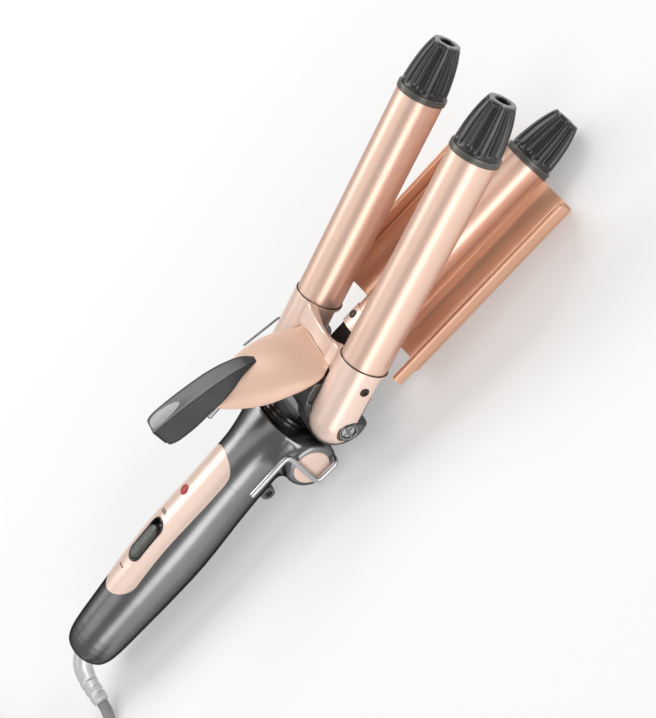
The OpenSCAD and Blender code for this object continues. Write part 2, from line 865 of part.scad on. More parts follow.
function spring_coil(s, start, y0 = 37.4) = [
    for (k = [0:round(spring_turns * 8)])
        let (a = start + 45 * k)
        [spring_r * cos(a), s * (y0 + spring_pitch * k / 8), spring_r * sin(a)]
];

module spring(s, leg, y0 = 37.4) {
    coil = spring_coil(s, -45, y0);
    tip = coil[len(coil) - 1];
    color(chrome) on_jaw()
        skin(tube_rings([each coil, for (p = leg) tip + [p[0], s * p[1], p[2]]],
            spring_wire / 2, 6, [0, s, 0]));
}

module left_spring() {
    spring(1, [[2, 0.1, 1.4], [6.5, 0.4, 5], [5.6, 0.6, 6.8], [-14, 0.9, 18.4]]);
}

module right_spring() {
    spring(-1, [[-1.6, 0.35, -1.6], [-5.6, 0.7, -5.6]], 35.8);
}

// ---- Stand ----

module wire_run(points) {
    for (i = [0:len(points) - 2])
        let (d = points[i + 1] - points[i])
        translate(points[i])
            rotate([0, acos(d[2] / norm(d)), atan2(d[1], d[0])])
                cylinder(d = wire_d, h = norm(d), $fn = 32);
    for (p = points) translate(p) sphere(d = wire_d + 0.1, $fn = 32);
}

module stand_wire() {
    color(chrome) at_rest() {
        rod_y(wire_d / 2, -leg_y, leg_y, stand_pivot[0], stand_pivot[1]);
        for (s = [-1, 1]) wire_run([for (p = stand_leg) [p[0], s * leg_y, p[1]]]);
    }
}

// ---- Cord ----

module strain_relief() {
    steps = 22;
    route = smooth(relief_route, steps);
    color("lightgray") skin(tube_rings(route, [
        for (i = [0:steps])
            let (base = 5.6 - 1.7 * i / steps)
            i < 4 || i % 3 == 0 ? base : base - 0.7
    ], 12));
}

function cord_pass(points, steps) = smooth(points, steps);

module cord_lead() {
    color("gray") skin(tube_rings(cord_pass(lead_route, 14), cord_r, 10));
}

// The coil spirals in on the lower layer, climbs in half a turn and spirals out on top
function coil_point(u) =
    let (half = coil_turns / 2, in = u < half ? u : coil_turns - u)
    let (r = coil_r - coil_pitch * in, lift = min(max((u - half + 0.25) * 2, 0), 1))
    [
        coil_at[0] + r * cos(-360 * u), coil_at[1] + r * sin(-360 * u), coil_z + coil_climb * lift
    ];

coil_rings = 24;
coil_path = let (n = coil_turns * coil_rings, a = coil_point(0), b = coil_point(coil_turns)) [
    a + [0, coil_lead, 0], a + [0, 0.35, 0], for (k = [1:n - 1]) coil_point(k / coil_rings),
    b + [0, 0.35, 0], b + [0, coil_lead, 0]
];

function path_gap(p, apart, d) =
    min([for (i = [0:len(p) - 1 - apart], j = [i + apart:len(p) - 1]) norm(p[i] - p[j])]) - d;

function path_length(p) = [for (i = [1:len(p) - 1]) norm(p[i] - p[i - 1])] * [for (i = [1:len(p) - 1]) 1];

echo(coil_gap = path_gap(coil_path, 12, cord_d), coil_length = path_length(coil_path));
echo(spring_gap = path_gap(spring_coil(1, 0), 5, spring_wire));
echo(cord_length = path_length(coil_path) + path_length(cord_pass(lead_route, 60))
    + path_length(cord_pass(tail_route, 60)));

module cord_coil() {
    color("gray") skin(tube_rings(coil_path, cord_r, 6));
}

module cord_tail() {
    color("gray") skin(tube_rings(cord_pass(tail_route, 14), cord_r, 10));
}

// Strap round all the turns of the coil
module cord_tie() {
    low = coil_r - coil_pitch * coil_turns / 2 - cord_r - 1.4;
    high = coil_r + cord_r + 1.2;
    color(black) translate([coil_at[0], coil_at[1], 0]) rotate([90, 0, -60])
        translate([0, 0, -5]) linear_extrude(height = 10) difference() {
            translate([low - 1.2, 0]) square([high - low + 2.4, 16.4]);
            translate([low, 1]) square([high - low, 14.4]);
        }
}

module plug_body() {
    color(black) difference() {
        skin([
            for (q = [[0, 4.4, 4], [6, 5.4, 4.8], [9, 9, 6.2], [14, 15, 6.9], [20, 17.4, 6.9],
                [33, 17.4, 6.9], [36, 16.6, 6.2]])
                [
                    for (a = [0:22.5:359])
                        plug_at + [
                            -q[1] * sign(cos(a)) * abs(cos(a)) ^ 0.6, q[0],
                            q[2] * sign(sin(a)) * abs(sin(a)) ^ 0.6
                        ]
                ]
        ]);
        for (s = [-1, 1]) translate(plug_at) rod_y(pin_root_r + 0.02, 26, 40, s * 9.5);
    }
}

module plug_pins() {
    color(chrome) for (s = [-1, 1]) translate(plug_at) {
        rod_y(pin_root_r, 26.2, 37, s * 9.5);
        rod_y(1.98, 36.4, 54, s * 9.5);
        translate([s * 9.5, 54, 0]) sphere(r = 1.98, $fn = 32);
    }
}

handle_upper_shell();
handle_lower_shell();
inset_panel();
lamp_lens();
switch_bezel();
switch_body();
switch_knob();
circuit_board();
cord_clamp();
wiring_harness();
handle_screws();
shoulder_housing();
left_side_cap();
right_side_cap();
centre_arm();
centre_sleeve();
centre_screw();
centre_barrel();
centre_heater();
centre_collar();
centre_cap();
wave_plate();
left_edge_rail();
right_edge_rail();
pivot_pin();
clamp_housing();
sleeve_bridge();
sleeve_screws();
dome_cover();
thumb_lever();
left_barrel();
right_barrel();
left_heater();
right_heater();
left_collar();
right_collar();
left_cap();
right_cap();
left_spring();
right_spring();
stand_wire();
strain_relief();
cord_lead();
cord_coil();
cord_tail();
cord_tie();
plug_body();
plug_pins();
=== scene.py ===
# Hair waver with three barrels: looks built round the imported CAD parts
import math
import bmesh
import bpy
from mathutils import Matrix, Vector


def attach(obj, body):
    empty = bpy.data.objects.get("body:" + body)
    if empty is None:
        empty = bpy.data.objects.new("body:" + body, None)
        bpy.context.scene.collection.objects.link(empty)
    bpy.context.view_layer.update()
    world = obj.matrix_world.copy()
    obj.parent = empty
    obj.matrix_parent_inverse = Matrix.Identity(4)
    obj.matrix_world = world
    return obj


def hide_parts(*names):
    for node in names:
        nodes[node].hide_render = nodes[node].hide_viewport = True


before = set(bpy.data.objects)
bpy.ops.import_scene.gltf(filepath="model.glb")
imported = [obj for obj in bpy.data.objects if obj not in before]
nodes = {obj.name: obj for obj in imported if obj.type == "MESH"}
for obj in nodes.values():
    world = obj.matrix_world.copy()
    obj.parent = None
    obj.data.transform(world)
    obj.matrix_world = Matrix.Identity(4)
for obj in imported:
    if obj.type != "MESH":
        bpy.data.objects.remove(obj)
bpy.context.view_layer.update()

mm = 0.001
print("frame loaded:", len(nodes), "parts")

stance = {"tilt": 3.19814201, "forward": 18, "lift": 22.154184, "jawOpen": 19.6, "droop": 3.7}


def turnY(degrees):
    return Matrix.Rotation(math.radians(degrees), 4, "Y")


toRow = Matrix.Scale(mm, 4)
toTool = toRow @ Matrix.Translation((stance["forward"], 0, stance["lift"])) @ turnY(stance["tilt"])
toJaw = toTool @ turnY(-stance["jawOpen"])
toHandle = toTool @ Matrix.Translation((-57, 0, -1.3)) @ turnY(-90 - stance["droop"])  # +Z rear, +X up


# Catmull-Rom point at t, counted in points
def curvePoint(points, t):
    i = min(int(t), len(points) - 2)
    f = t - i
    a, b = points[max(i - 1, 0)], points[i]
    c, d = points[i + 1], points[min(i + 2, len(points) - 1)]
    return [0.5 * (2 * b[k] + (c[k] - a[k]) * f + (2 * a[k] - 5 * b[k] + 4 * c[k] - d[k]) * f * f
                   + (3 * b[k] - a[k] - 3 * c[k] + d[k]) * f ** 3) for k in range(len(b))]


def smoothRun(points, steps):
    return [curvePoint(points, k * (len(points) - 1) / steps) for k in range(steps + 1)]


# Cosine and sine at each of the equal steps round a circle
def circle(steps):
    return [(math.cos(math.tau * k / steps), math.sin(math.tau * k / steps)) for k in range(steps)]


def addObject(name, data):
    piece = bpy.data.objects.new(name, data)
    bpy.context.scene.collection.objects.link(piece)
    return piece


view = {
    "at": (0.26324, -0.61355, 0.59001),
    "right": (0.6297, -0.3826, -0.6761), "up": (0.7295, 0.5905, 0.3451),
    "back": (0.2671, -0.7106, 0.6509), "lens": 56.165, "sensor": 24,
}
cameraData = bpy.data.cameras.new("studioCamera")
cameraData.sensor_fit = "VERTICAL"
cameraData.sensor_height = view["sensor"]
cameraData.lens = view["lens"]
cameraData.clip_start = 0.01
camera = addObject("studioCamera", cameraData)
turn = Matrix((view["right"], view["up"], view["back"])).transposed()
camera.matrix_world = Matrix.Translation(view["at"]) @ turn.to_quaternion().to_matrix().to_4x4()
bpy.context.scene.camera = camera
print("camera set")


def startMaterial(name):
    material = bpy.data.materials.new(name)
    material.use_nodes = True
    tree = material.node_tree
    shader = tree.nodes["Principled BSDF"]
    return material, tree, shader


# A node with its settings, and its inputs joined to sockets or set to values
def addNode(tree, kind, settings=None, **links):
    node = tree.nodes.new(kind)
    for key, value in (settings or {}).items():
        setattr(node, key, value)
    for key, value in links.items():
        numbered = key[0] == "i" and key[1:].isdigit()
        socket = node.inputs[int(key[1:]) if numbered else key.replace("_", " ")]
        if isinstance(value, bpy.types.NodeSocket):
            tree.links.new(value, socket)
        else:
            socket.default_value = value
    return node


def combine(tree, operation, first, second):
    return addNode(tree, "ShaderNodeMath", {"operation": operation}, i0=first, i1=second).outputs[0]


# Noise in the object's own coordinates, pulled out along an axis by stretch
def grainAt(tree, scale, detail=3.0, stretch=(1, 1, 1)):
    place = addNode(tree, "ShaderNodeTexCoord")
    mapping = addNode(tree, "ShaderNodeMapping", Vector=place.outputs["Object"], Scale=stretch)
    return addNode(tree, "ShaderNodeTexNoise", Vector=mapping.outputs[0], Scale=scale, Detail=detail,
                   Roughness=0.55).outputs["Fac"]


def spread(tree, value, low, high, fromLow=0.3, fromHigh=0.7):
    return addNode(tree, "ShaderNodeMapRange", Value=value, From_Min=fromLow, From_Max=fromHigh,
                   To_Min=low, To_Max=high).outputs[0]


def blendColour(tree, amount, first, second):
    ends = [end if isinstance(end, bpy.types.NodeSocket) else (*end, 1) for end in (first, second)]
    return addNode(tree, "ShaderNodeMix", {"data_type": "RGBA"}, i0=amount, i6=ends[0], i7=ends[1]).outputs[2]


# 1 along sharp edges, 0 on the faces
def edgeMask(tree, radius=0.0005):
    rounded = addNode(tree, "ShaderNodeBevel", {"samples": 3}, Radius=radius).outputs[0]
    flat = addNode(tree, "ShaderNodeNewGeometry").outputs["Normal"]
    match = addNode(tree, "ShaderNodeVectorMath", {"operation": "DOT_PRODUCT"}, i0=rounded, i1=flat)
    return spread(tree, match.outputs["Value"], 1.0, 0.0, 0.60, 0.87)


# Material with cloudy colour, fine grain and, if worn is given, paler or darker edges
def finish(name, colour, colour2, rough, grainScale, metal=0.0, stretch=(1, 1, 1), bump=0.15, bumpDepth=0.0001,
           coat=0.0, coatRough=0.1, cloudScale=60, ior=1.5, worn=None, wear=0.6, edgeTint=None, glow=None,
           glowStrength=0.0):
    material, tree, shader = startMaterial(name)
    blended = blendColour(tree, spread(tree, grainAt(tree, cloudScale, 2.0), 0.0, 1.0), colour, colour2)
    grain = grainAt(tree, grainScale, 4.0, stretch)
    if worn:
        speckle = spread(tree, grainAt(tree, 900, 3.0), 0.15, 1.0, 0.42, 0.62)
        amount = combine(tree, "MULTIPLY", combine(tree, "MULTIPLY", edgeMask(tree), speckle), wear)
        blended = blendColour(tree, amount, blended, worn)
    tree.links.new(blended, shader.inputs["Base Color"])
    tree.links.new(spread(tree, grain, *rough), shader.inputs["Roughness"])
    relief = addNode(tree, "ShaderNodeBump", Strength=bump, Distance=bumpDepth, Height=grain)
    tree.links.new(relief.outputs[0], shader.inputs["Normal"])
    settings = {"Metallic": metal, "IOR": ior, "Coat Weight": coat, "Coat Roughness": coatRough}
    if edgeTint:
        settings["Specular Tint"] = (*edgeTint, 1)
    if glow:
        settings["Emission Color"] = (*glow, 1)
        settings["Emission Strength"] = glowStrength
    for key, value in settings.items():
        shader.inputs[key].default_value = value
    return material


roseCoat = finish("roseCoat", colour=(0.91, 0.65, 0.53), colour2=(0.89, 0.625, 0.505), metal=0.6,
    rough=(0.32, 0.38), grainScale=1500, stretch=(0.25, 1, 1), bump=0.05, bumpDepth=0.00003, coat=0.1,
    coatRough=0.2, cloudScale=30, edgeTint=(0.25, 0.09, 0.04))
roseGloss = finish("roseGloss", colour=(0.92, 0.71, 0.615), colour2=(0.90, 0.69, 0.59), metal=0.35,
    rough=(0.28, 0.34), grainScale=1800, bump=0.04, bumpDepth=0.00003, coat=0.15, coatRough=0.16,
    worn=(0.95, 0.84, 0.78), wear=0.3, cloudScale=40, edgeTint=(0.45, 0.28, 0.2))
peachMatte = finish("peachMatte", colour=(0.83, 0.56, 0.435), colour2=(0.80, 0.535, 0.41), metal=0.1,
    rough=(0.40, 0.48), grainScale=2400, bump=0.10, bumpDepth=0.00004, cloudScale=45, worn=(0.52, 0.29, 0.2),
    wear=0.5)
copperSatin = finish("copperSatin", colour=(0.78, 0.47, 0.33), colour2=(0.72, 0.42, 0.285), metal=0.55,
    rough=(0.32, 0.42), grainScale=1100, stretch=(0.03, 1, 1), bump=0.12, bumpDepth=0.00005,
    worn=(0.93, 0.74, 0.62), wear=0.5, cloudScale=35, edgeTint=(0.45, 0.25, 0.16))
graphiteSatin = finish("graphiteSatin", colour=(0.27, 0.27, 0.275), colour2=(0.245, 0.245, 0.25), metal=1.0,
    rough=(0.27, 0.31), grainScale=2600, bump=0.012, bumpDepth=0.00003, edgeTint=(0.0, 0.0, 0.0),
    worn=(0.42, 0.42, 0.43), wear=0.35, cloudScale=50)
darkPlastic = {"grainScale": 2600, "bump": 0.06, "bumpDepth": 0.00003, "edgeTint": (0.2, 0.2, 0.2)}
leverSatin = finish("leverSatin", colour=(0.105, 0.105, 0.107), colour2=(0.09, 0.09, 0.092), metal=0.65,
    rough=(0.28, 0.36), worn=(0.4, 0.4, 0.41), wear=0.5, cloudScale=50, **darkPlastic)
# Darker copy of the lever's finish for its sides: painted shade, as the sides turn away from the light
leverShadeFlank = finish("leverShadeFlank", colour=(0.055, 0.055, 0.056), colour2=(0.045, 0.045, 0.046), metal=0.5,
    rough=(0.30, 0.40), worn=(0.3, 0.3, 0.31), wear=0.5, cloudScale=50, **darkPlastic)
# Paler grey for the patch over the lever's dish: painted highlight
padHighlightGrey = finish("padHighlightGrey", colour=(0.235, 0.235, 0.24), colour2=(0.205, 0.205, 0.21), metal=0.7,
    rough=(0.30, 0.38), **darkPlastic)
# Mid-grey for the jaw's black housing and drum, standing in for the light they reflect: painted sheen
cupPaintedSheen = finish("cupPaintedSheen", colour=(0.19, 0.19, 0.193), colour2=(0.17, 0.17, 0.173), metal=0.7,
    rough=(0.24, 0.32), grainScale=2200, bump=0.06, bumpDepth=0.00003, edgeTint=(0.2, 0.2, 0.2),
    worn=(0.3, 0.3, 0.31), wear=0.4, cloudScale=50)
blackGloss = finish("blackGloss", colour=(0.014, 0.014, 0.015), colour2=(0.010, 0.010, 0.011),
    rough=(0.16, 0.26), grainScale=900, bump=0.06, bumpDepth=0.00005, coat=0.3, worn=(0.12, 0.12, 0.12),
    wear=0.4)
capBlack = finish("capBlack", colour=(0.018, 0.018, 0.019), colour2=(0.012, 0.012, 0.013), rough=(0.22, 0.32),
    grainScale=2600, bump=0.12, bumpDepth=0.00005, ior=1.6, worn=(0.14, 0.14, 0.14), wear=0.5)
collarGrey = finish("collarGrey", colour=(0.135, 0.128, 0.112), colour2=(0.115, 0.110, 0.098), metal=0.5,
    rough=(0.3, 0.42), grainScale=900, stretch=(3, 1, 1), bump=0.12, worn=(0.46, 0.45, 0.42), wear=0.6)
knobGrey = finish("knobGrey", colour=(0.105, 0.105, 0.095), colour2=(0.088, 0.088, 0.08), metal=0.35,
    rough=(0.3, 0.4), grainScale=2400, bump=0.12, bumpDepth=0.00004, worn=(0.34, 0.34, 0.32), wear=0.4)
rimGrey = finish("rimGrey", colour=(0.30, 0.30, 0.30), colour2=(0.25, 0.25, 0.25), metal=0.5, rough=(0.3, 0.42),
    grainScale=900, bump=0.12)
brightWire = finish("brightWire", colour=(0.62, 0.62, 0.63), colour2=(0.54, 0.54, 0.56), metal=1.0,
    rough=(0.16, 0.22), grainScale=700, stretch=(0.3, 1, 1), bump=0.015)
darkSteel = finish("darkSteel", colour=(0.06, 0.045, 0.04), colour2=(0.045, 0.035, 0.03), metal=0.8,
    rough=(0.28, 0.42), grainScale=1200, bump=0.15, worn=(0.3, 0.26, 0.23), wear=0.4)
springSteel = finish("springSteel", colour=(0.30, 0.30, 0.305), colour2=(0.22, 0.22, 0.225), metal=1.0,
    rough=(0.22, 0.32), grainScale=1200, bump=0.12)
lampRed = finish("lampRed", colour=(0.40, 0.022, 0.028), colour2=(0.34, 0.018, 0.022), rough=(0.34, 0.42),
    grainScale=1200, bump=0.05, glow=(0.7, 0.03, 0.02), glowStrength=0.02)
markBrown = finish("markBrown", colour=(0.085, 0.06, 0.05), colour2=(0.12, 0.085, 0.07), rough=(0.45, 0.6),
    grainScale=1600, bump=0.1)
cordGrey = finish("cordGrey", colour=(0.30, 0.30, 0.305), colour2=(0.26, 0.26, 0.265), rough=(0.42, 0.56),
    grainScale=1300, bump=0.22, bumpDepth=0.00008)
bootSilver = finish("bootSilver", colour=(0.74, 0.74, 0.745), colour2=(0.68, 0.68, 0.685), metal=0.35,
    rough=(0.28, 0.38), grainScale=1300, bump=0.16, bumpDepth=0.00008, worn=(0.7, 0.7, 0.7), wear=0.35)
plugBlack = finish("plugBlack", colour=(0.03, 0.03, 0.032), colour2=(0.022, 0.022, 0.024), rough=(0.38, 0.52),
    grainScale=1600, bump=0.25, bumpDepth=0.0001, worn=(0.12, 0.12, 0.12), wear=0.4)
whiteNylon = finish("whiteNylon", colour=(0.72, 0.71, 0.68), colour2=(0.66, 0.65, 0.61), rough=(0.42, 0.55),
    grainScale=1300, bump=0.15)
heaterPlate = finish("heaterPlate", colour=(0.52, 0.52, 0.53), colour2=(0.44, 0.44, 0.45), metal=0.9,
    rough=(0.35, 0.5), grainScale=800, stretch=(0.1, 1, 1), bump=0.15)
boardGreen = finish("boardGreen", colour=(0.03, 0.16, 0.07), colour2=(0.025, 0.13, 0.055), rough=(0.3, 0.45),
    grainScale=1500, bump=0.2)


# Woven hook-and-loop strap
def strapWeave():
    material, tree, shader = startMaterial("strapWeave")
    place = addNode(tree, "ShaderNodeTexCoord").outputs["Object"]
    waves = [addNode(tree, "ShaderNodeTexWave", {"bands_direction": way}, Vector=place, Scale=420.0,
                     Distortion=0.6).outputs["Fac"] for way in ("X", "Z")]
    weave = combine(tree, "MULTIPLY", *waves)
    colour = blendColour(tree, weave, (0.012, 0.012, 0.013), (0.045, 0.045, 0.047))
    tree.links.new(colour, shader.inputs["Base Color"])
    tree.links.new(spread(tree, weave, 0.9, 0.7, 0.0, 1.0), shader.inputs["Roughness"])
    relief = addNode(tree, "ShaderNodeBump", Strength=0.5, Distance=0.0003, Height=weave)
    tree.links.new(relief.outputs[0], shader.inputs["Normal"])
    return material


strapMaterial = strapWeave()
print("materials made")


# A mesh object from (points, faces) in millimetres
def addPiece(name, solid, material, place=toRow, smoothAngle=32.0):
    mesh = bpy.data.meshes.new(name)
    mesh.from_pydata([place @ Vector(v) for v in solid[0]], [], solid[1])
    tidy = bmesh.new()
    tidy.from_mesh(mesh)
    bmesh.ops.remove_doubles(tidy, verts=tidy.verts, dist=1e-6)
    bmesh.ops.recalc_face_normals(tidy, faces=tidy.faces)
    tidy.to_mesh(mesh)
    tidy.free()
    mesh.materials.append(material)
    mesh.shade_smooth()
    mesh.set_sharp_from_angle(angle=math.radians(smoothAngle))
    return addObject(name, mesh)


# Points and faces through rings of equal length, closed at both ends or looped
def loftMesh(rings, loop=False):
    count = len(rings[0])
    vertices = [p for ring in rings for p in ring]
    faces = []
    for i in range(len(rings) if loop else len(rings) - 1):
        for j in range(count):
            a, b = i * count + j, i * count + (j + 1) % count
            following = ((i + 1) % len(rings)) * count
            faces.append((a, b, following + (j + 1) % count, following + j))
    if not loop:
        faces += [tuple(reversed(range(count))), tuple(range(len(vertices) - count, len(vertices)))]
    return vertices, faces


# Solid of revolution round Z or Y from [radius, station] points
def latheMesh(outline, steps=96, axis="Z", centre=(0, 0, 0)):
    rings = []
    for radius, station in outline:
        ring = []
        for c, s in circle(steps):
            c, s = max(radius, 1e-4) * c, max(radius, 1e-4) * s
            local = (s, station, c) if axis == "Y" else (c, s, station)
            ring.append([local[n] + centre[n] for n in range(3)])
        rings.append(ring)
    return loftMesh(rings)


# Tube along a run of points, with its section carried along without twist
def tubeMesh(path, radii, sides=16, roundEnds=False):
    points = [Vector(p) for p in path]
    radii = radii if isinstance(radii, list) else [radii] * len(points)
    if roundEnds:
        lead, tail = (points[1] - points[0]).normalized(), (points[-1] - points[-2]).normalized()
        r0, r1 = radii[0], radii[-1]
        front = [(points[0] - lead * r0 * math.sin(a), r0 * math.cos(a)) for a in (1.45, 1.1, 0.75, 0.35)]
        back = [(points[-1] + tail * r1 * math.sin(a), r1 * math.cos(a)) for a in (0.35, 0.75, 1.1, 1.45)]
        points = [p for p, r in front] + points + [p for p, r in back]
        radii = [r for p, r in front] + radii + [r for p, r in back]
    rings = []
    side = None
    for i, p in enumerate(points):
        heading = (points[min(i + 1, len(points) - 1)] - points[max(i - 1, 0)]).normalized()
        if side is None:
            side = heading.orthogonal().normalized()
        side = (side - heading * side.dot(heading)).normalized()
        other = heading.cross(side)
        rings.append([p + radii[i] * (c * side + s * other) for c, s in circle(sides)])
    return loftMesh(rings)


# The run of points with an arc at each corner
def roundedPath(points, radius, steps=7):
    points = [Vector(p) for p in points]
    run = [points[0]]
    for before, corner, after in zip(points, points[1:], points[2:]):
        into, out = (corner - before).normalized(), (after - corner).normalized()
        half = math.acos(max(-1, min(1, into.dot(out)))) / 2
        cut = min(radius * math.tan(half), (corner - before).length * 0.45, (after - corner).length * 0.45)
        a, b = corner - into * cut, corner + out * cut
        for k in range(steps + 1):
            t = k / steps
            run.append((1 - t) ** 2 * a + 2 * t * (1 - t) * corner + t * t * b)
    return run + [points[-1]]


# Bakes modifiers, given as (kind, settings) pairs, into the mesh
def settle(piece, *modifiers):
    for kind, settings in modifiers:
        modifier = piece.modifiers.new(kind.lower(), kind)
        for key, value in settings.items():
            setattr(modifier, key, value)
    graph = bpy.context.evaluated_depsgraph_get()
    mesh = bpy.data.meshes.new_from_object(piece.evaluated_get(graph))
    piece.modifiers.clear()
    piece.data = mesh
    mesh.shade_smooth()
    return piece


# One object from several (points, faces) solids
def joined(name, parts, material, place):
    vertices, faces = [], []
    for points, sides in parts:
        shift = len(vertices)
        vertices += points
        faces += [tuple(v + shift for v in side) for side in sides]
    return addPiece(name, (vertices, faces), material, place)


def fit(piece, body, slot, *replaced):
    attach(piece, body)
    if replaced:
        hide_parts(*replaced)
    return piece


cordSpec = {
    "diameter": 6.4,
    "lead": [[-199.3, -21, 7.6], [-200.5, -26.4, 4.9], [-202.1, -31.5, 3.6], [-203.7, -36.3, 3.4],
             [-205.2, -41.1, 3.7], [-206.3, -45.9, 4.2], [-206.7, -51, 4.5]],
    "tail": [[-305.3, -51, 11.4], [-304.4, -43.4, 11.1], [-302.1, -37.1, 10.3], [-299.1, -31.5, 9.2],
             [-296.2, -25.9, 8.1], [-293.9, -19.6, 7.3], [-293, -12, 7]],
    "coilAt": (-256, -57), "coilRadius": 49.3, "pitch": 6.9, "turns": 7.5, "low": 4.5, "climb": 6.9,
    "perTurn": 24,
}


def coilPoint(u):
    half = cordSpec["turns"] / 2
    inward = u if u < half else cordSpec["turns"] - u
    radius = cordSpec["coilRadius"] - cordSpec["pitch"] * inward
    lift = min(max((u - half + 0.25) * 2, 0), 1)
    angle = -math.tau * u
    x, y = cordSpec["coilAt"]
    return [x + radius * math.cos(angle), y + radius * math.sin(angle), cordSpec["low"] + cordSpec["climb"] * lift]


def makeCord():
    turns = int(cordSpec["turns"] * cordSpec["perTurn"])
    route = smoothRun(cordSpec["lead"], 16)
    route += [coilPoint(k / cordSpec["perTurn"]) for k in range(turns + 1)]
    route += smoothRun(cordSpec["tail"], 18)
    curve = bpy.data.curves.new("mainsCord", "CURVE")
    curve.dimensions = "3D"
    curve.bevel_depth = cordSpec["diameter"] / 2 * mm
    curve.bevel_resolution = 6
    curve.resolution_u = 3
    curve.use_fill_caps = True
    spline = curve.splines.new("BEZIER")
    spline.bezier_points.add(len(route) - 1)
    for point, place in zip(spline.bezier_points, route):
        point.co = [mm * c for c in place]
        point.handle_left_type = point.handle_right_type = "AUTO"
    curve.materials.append(cordGrey)
    return fit(addObject("mainsCord", curve), "handle", "cord_skin", "cord_lead", "cord_coil", "cord_tail")


mainsCord = makeCord()

bootSpec = {
    "route": [[-181.8, 0, 22.5], [-187.5, -1, 22.2], [-192.5, -4.4, 20.2], [-196.1, -9.6, 16],
              [-198.3, -15, 11.4], [-199.3, -21, 7.6]],
    "wide": 6.15, "narrow": 4.5, "sides": 32, "steps": 90, "ribs": 7, "ribFrom": 0.56, "ribDepth": 0.55,
    "lip": 0.35,
}


# Strain relief: plain near the handle, ringed towards the cord
def makeBoot():
    radii = []
    for k in range(bootSpec["steps"] + 1):
        t = k / bootSpec["steps"]
        radius = bootSpec["wide"] + (bootSpec["narrow"] - bootSpec["wide"]) * t ** 0.9
        along = (t - bootSpec["ribFrom"]) / (1 - bootSpec["ribFrom"])
        if 0 < along < 1:
            radius -= bootSpec["ribDepth"] * max(0.0, math.sin(math.tau * bootSpec["ribs"] * along / 2)) ** 6
        radii.append(radius)
    radii[-1] -= bootSpec["lip"]
    tube = tubeMesh(smoothRun(bootSpec["route"], bootSpec["steps"]), radii, bootSpec["sides"])
    return fit(addPiece("cordBoot", tube, bootSilver), "handle", "cord_skin", "strain_relief")


makeBoot()

tieSpec = {"toward": -60, "width": 10, "near": 17.4, "far": 54.6, "bottom": 0.5, "top": 15.9,
           "thick": 1.2, "corner": 5, "bevel": 0.3, "lapAt": (21, 5), "lapHalf": 4.2}
boxFaces = [(3, 2, 1, 0), (4, 5, 6, 7), (0, 1, 5, 4), (1, 2, 6, 5), (2, 3, 7, 6), (3, 0, 4, 7)]


# Strap round the coil's turns, with its free end lapped over
def makeTie():
    near, far, bottom, top = (tieSpec[n] for n in ("near", "far", "bottom", "top"))
    half, thick, bevel = tieSpec["width"] / 2, tieSpec["thick"], tieSpec["bevel"]
    middle = ((near + far) / 2, bottom)
    corners = [middle, (far, bottom), (far, top), (near, top), (near, bottom), middle]
    loop = roundedPath([(x, 0, z) for x, z in corners], tieSpec["corner"], 6)[:-1]
    rings = []
    for i, p in enumerate(loop):
        heading = (loop[(i + 1) % len(loop)] - loop[i - 1]).normalized()
        inward = Vector((-heading.z, 0, heading.x))
        rings.append([p + inward * n + Vector((0, w, 0)) for w, n in (
            (-half, bevel), (-half + bevel, 0), (half - bevel, 0), (half, bevel), (half, thick - bevel),
            (half - bevel, thick), (-half + bevel, thick), (-half, thick - bevel))])
    start, stop = (far - n for n in tieSpec["lapAt"])
    wide = tieSpec["lapHalf"]
    lap = [(x, y, top + 0.02 + z) for z in (-0.4, 0.45)
           for x, y in ((start, -wide), (stop, -wide), (stop, wide), (start, wide))]
    place = toRow @ Matrix.Translation((*cordSpec["coilAt"], 0))
    place = place @ Matrix.Rotation(math.radians(tieSpec["toward"]), 4, "Z")
    piece = joined("cordStrap", [loftMesh(rings, loop=True), (lap, boxFaces)], strapMaterial, place)
    return fit(piece, "handle", "plug_plastic", "cord_tie")


cordStrap = makeTie()

plugSpec = {
    "at": (-293, -12, 7), "grooves": (15.5, 28.3), "groovePitch": 3.2, "grooveDepth": 0.5, "squareness": 0.6,
    "rings": [[0, 4.3, 3.9], [4, 5.0, 4.5], [7, 6.2, 5.2], [9, 8.6, 6.1], [11.5, 12.2, 6.7], [14, 14.8, 6.85],
              [17, 16.6, 6.9], [20, 17.3, 6.9], [27, 17.35, 6.9], [33, 17.3, 6.85], [35, 16.9, 6.5],
              [36, 16.1, 5.8]],
}


# Flat two-pin plug with finger grooves on its waist
def makePlug():
    x, y, z = plugSpec["at"]
    first, last = plugSpec["grooves"]
    rings = []
    for along, wide, high in smoothRun(plugSpec["rings"], 72):
        wave = math.sin((along - first) * math.tau / plugSpec["groovePitch"]) if first < along < last else 0.0
        groove = plugSpec["grooveDepth"] * max(0.0, wave) ** 2
        ring = []
        for c, s in circle(48):
            across, up = (math.copysign(abs(v) ** plugSpec["squareness"], v) for v in (c, s))
            ring.append([x - (wide - groove * abs(c) ** 3) * across, y + along, z + high * up])
        rings.append(ring)
    return fit(addPiece("plugShell", loftMesh(rings), plugBlack), "handle", "plug_plastic", "plug_body")


plugShell = makePlug()
print("cord, boot, strap and plug made")


handleOutline = smoothRun([[20, -32], [19.2, -24], [17.9, -12], [17.4, 0], [17.9, 28], [19.2, 61], [18.3, 88],
                           [16.8, 113], [15.4, 133], [13.5, 142], [10.4, 145.8], [6, 147]], 66)
neckSpec = {
    "rim": 1.2, "taper": 0.25, "taperFrom": 11, "capRun": 7, "voxel": 0.8, "grow": 0.12, "front": -32, "rear": 16,
    "flare": 0.26, "fillet": 10, "shoulderAt": (-31, -10.5), "shoulderRadius": 14, "halfWidth": 29.5, "round": 4.5,
    "seat": 17.6,
}


def handleRadius(z):
    for (r0, z0), (r1, z1) in zip(handleOutline, handleOutline[1:]):
        if z0 <= z <= z1:
            return r0 + (r1 - r0) * (z - z0) / (z1 - z0)
    return handleOutline[0][0] if z < 0 else handleOutline[-1][0]


def neckFlare(z):
    return 1 + neckSpec["flare"] * min(1.0, max(0.0, z / neckSpec["front"])) ** 2


toolToHandle = toHandle.inverted() @ toTool


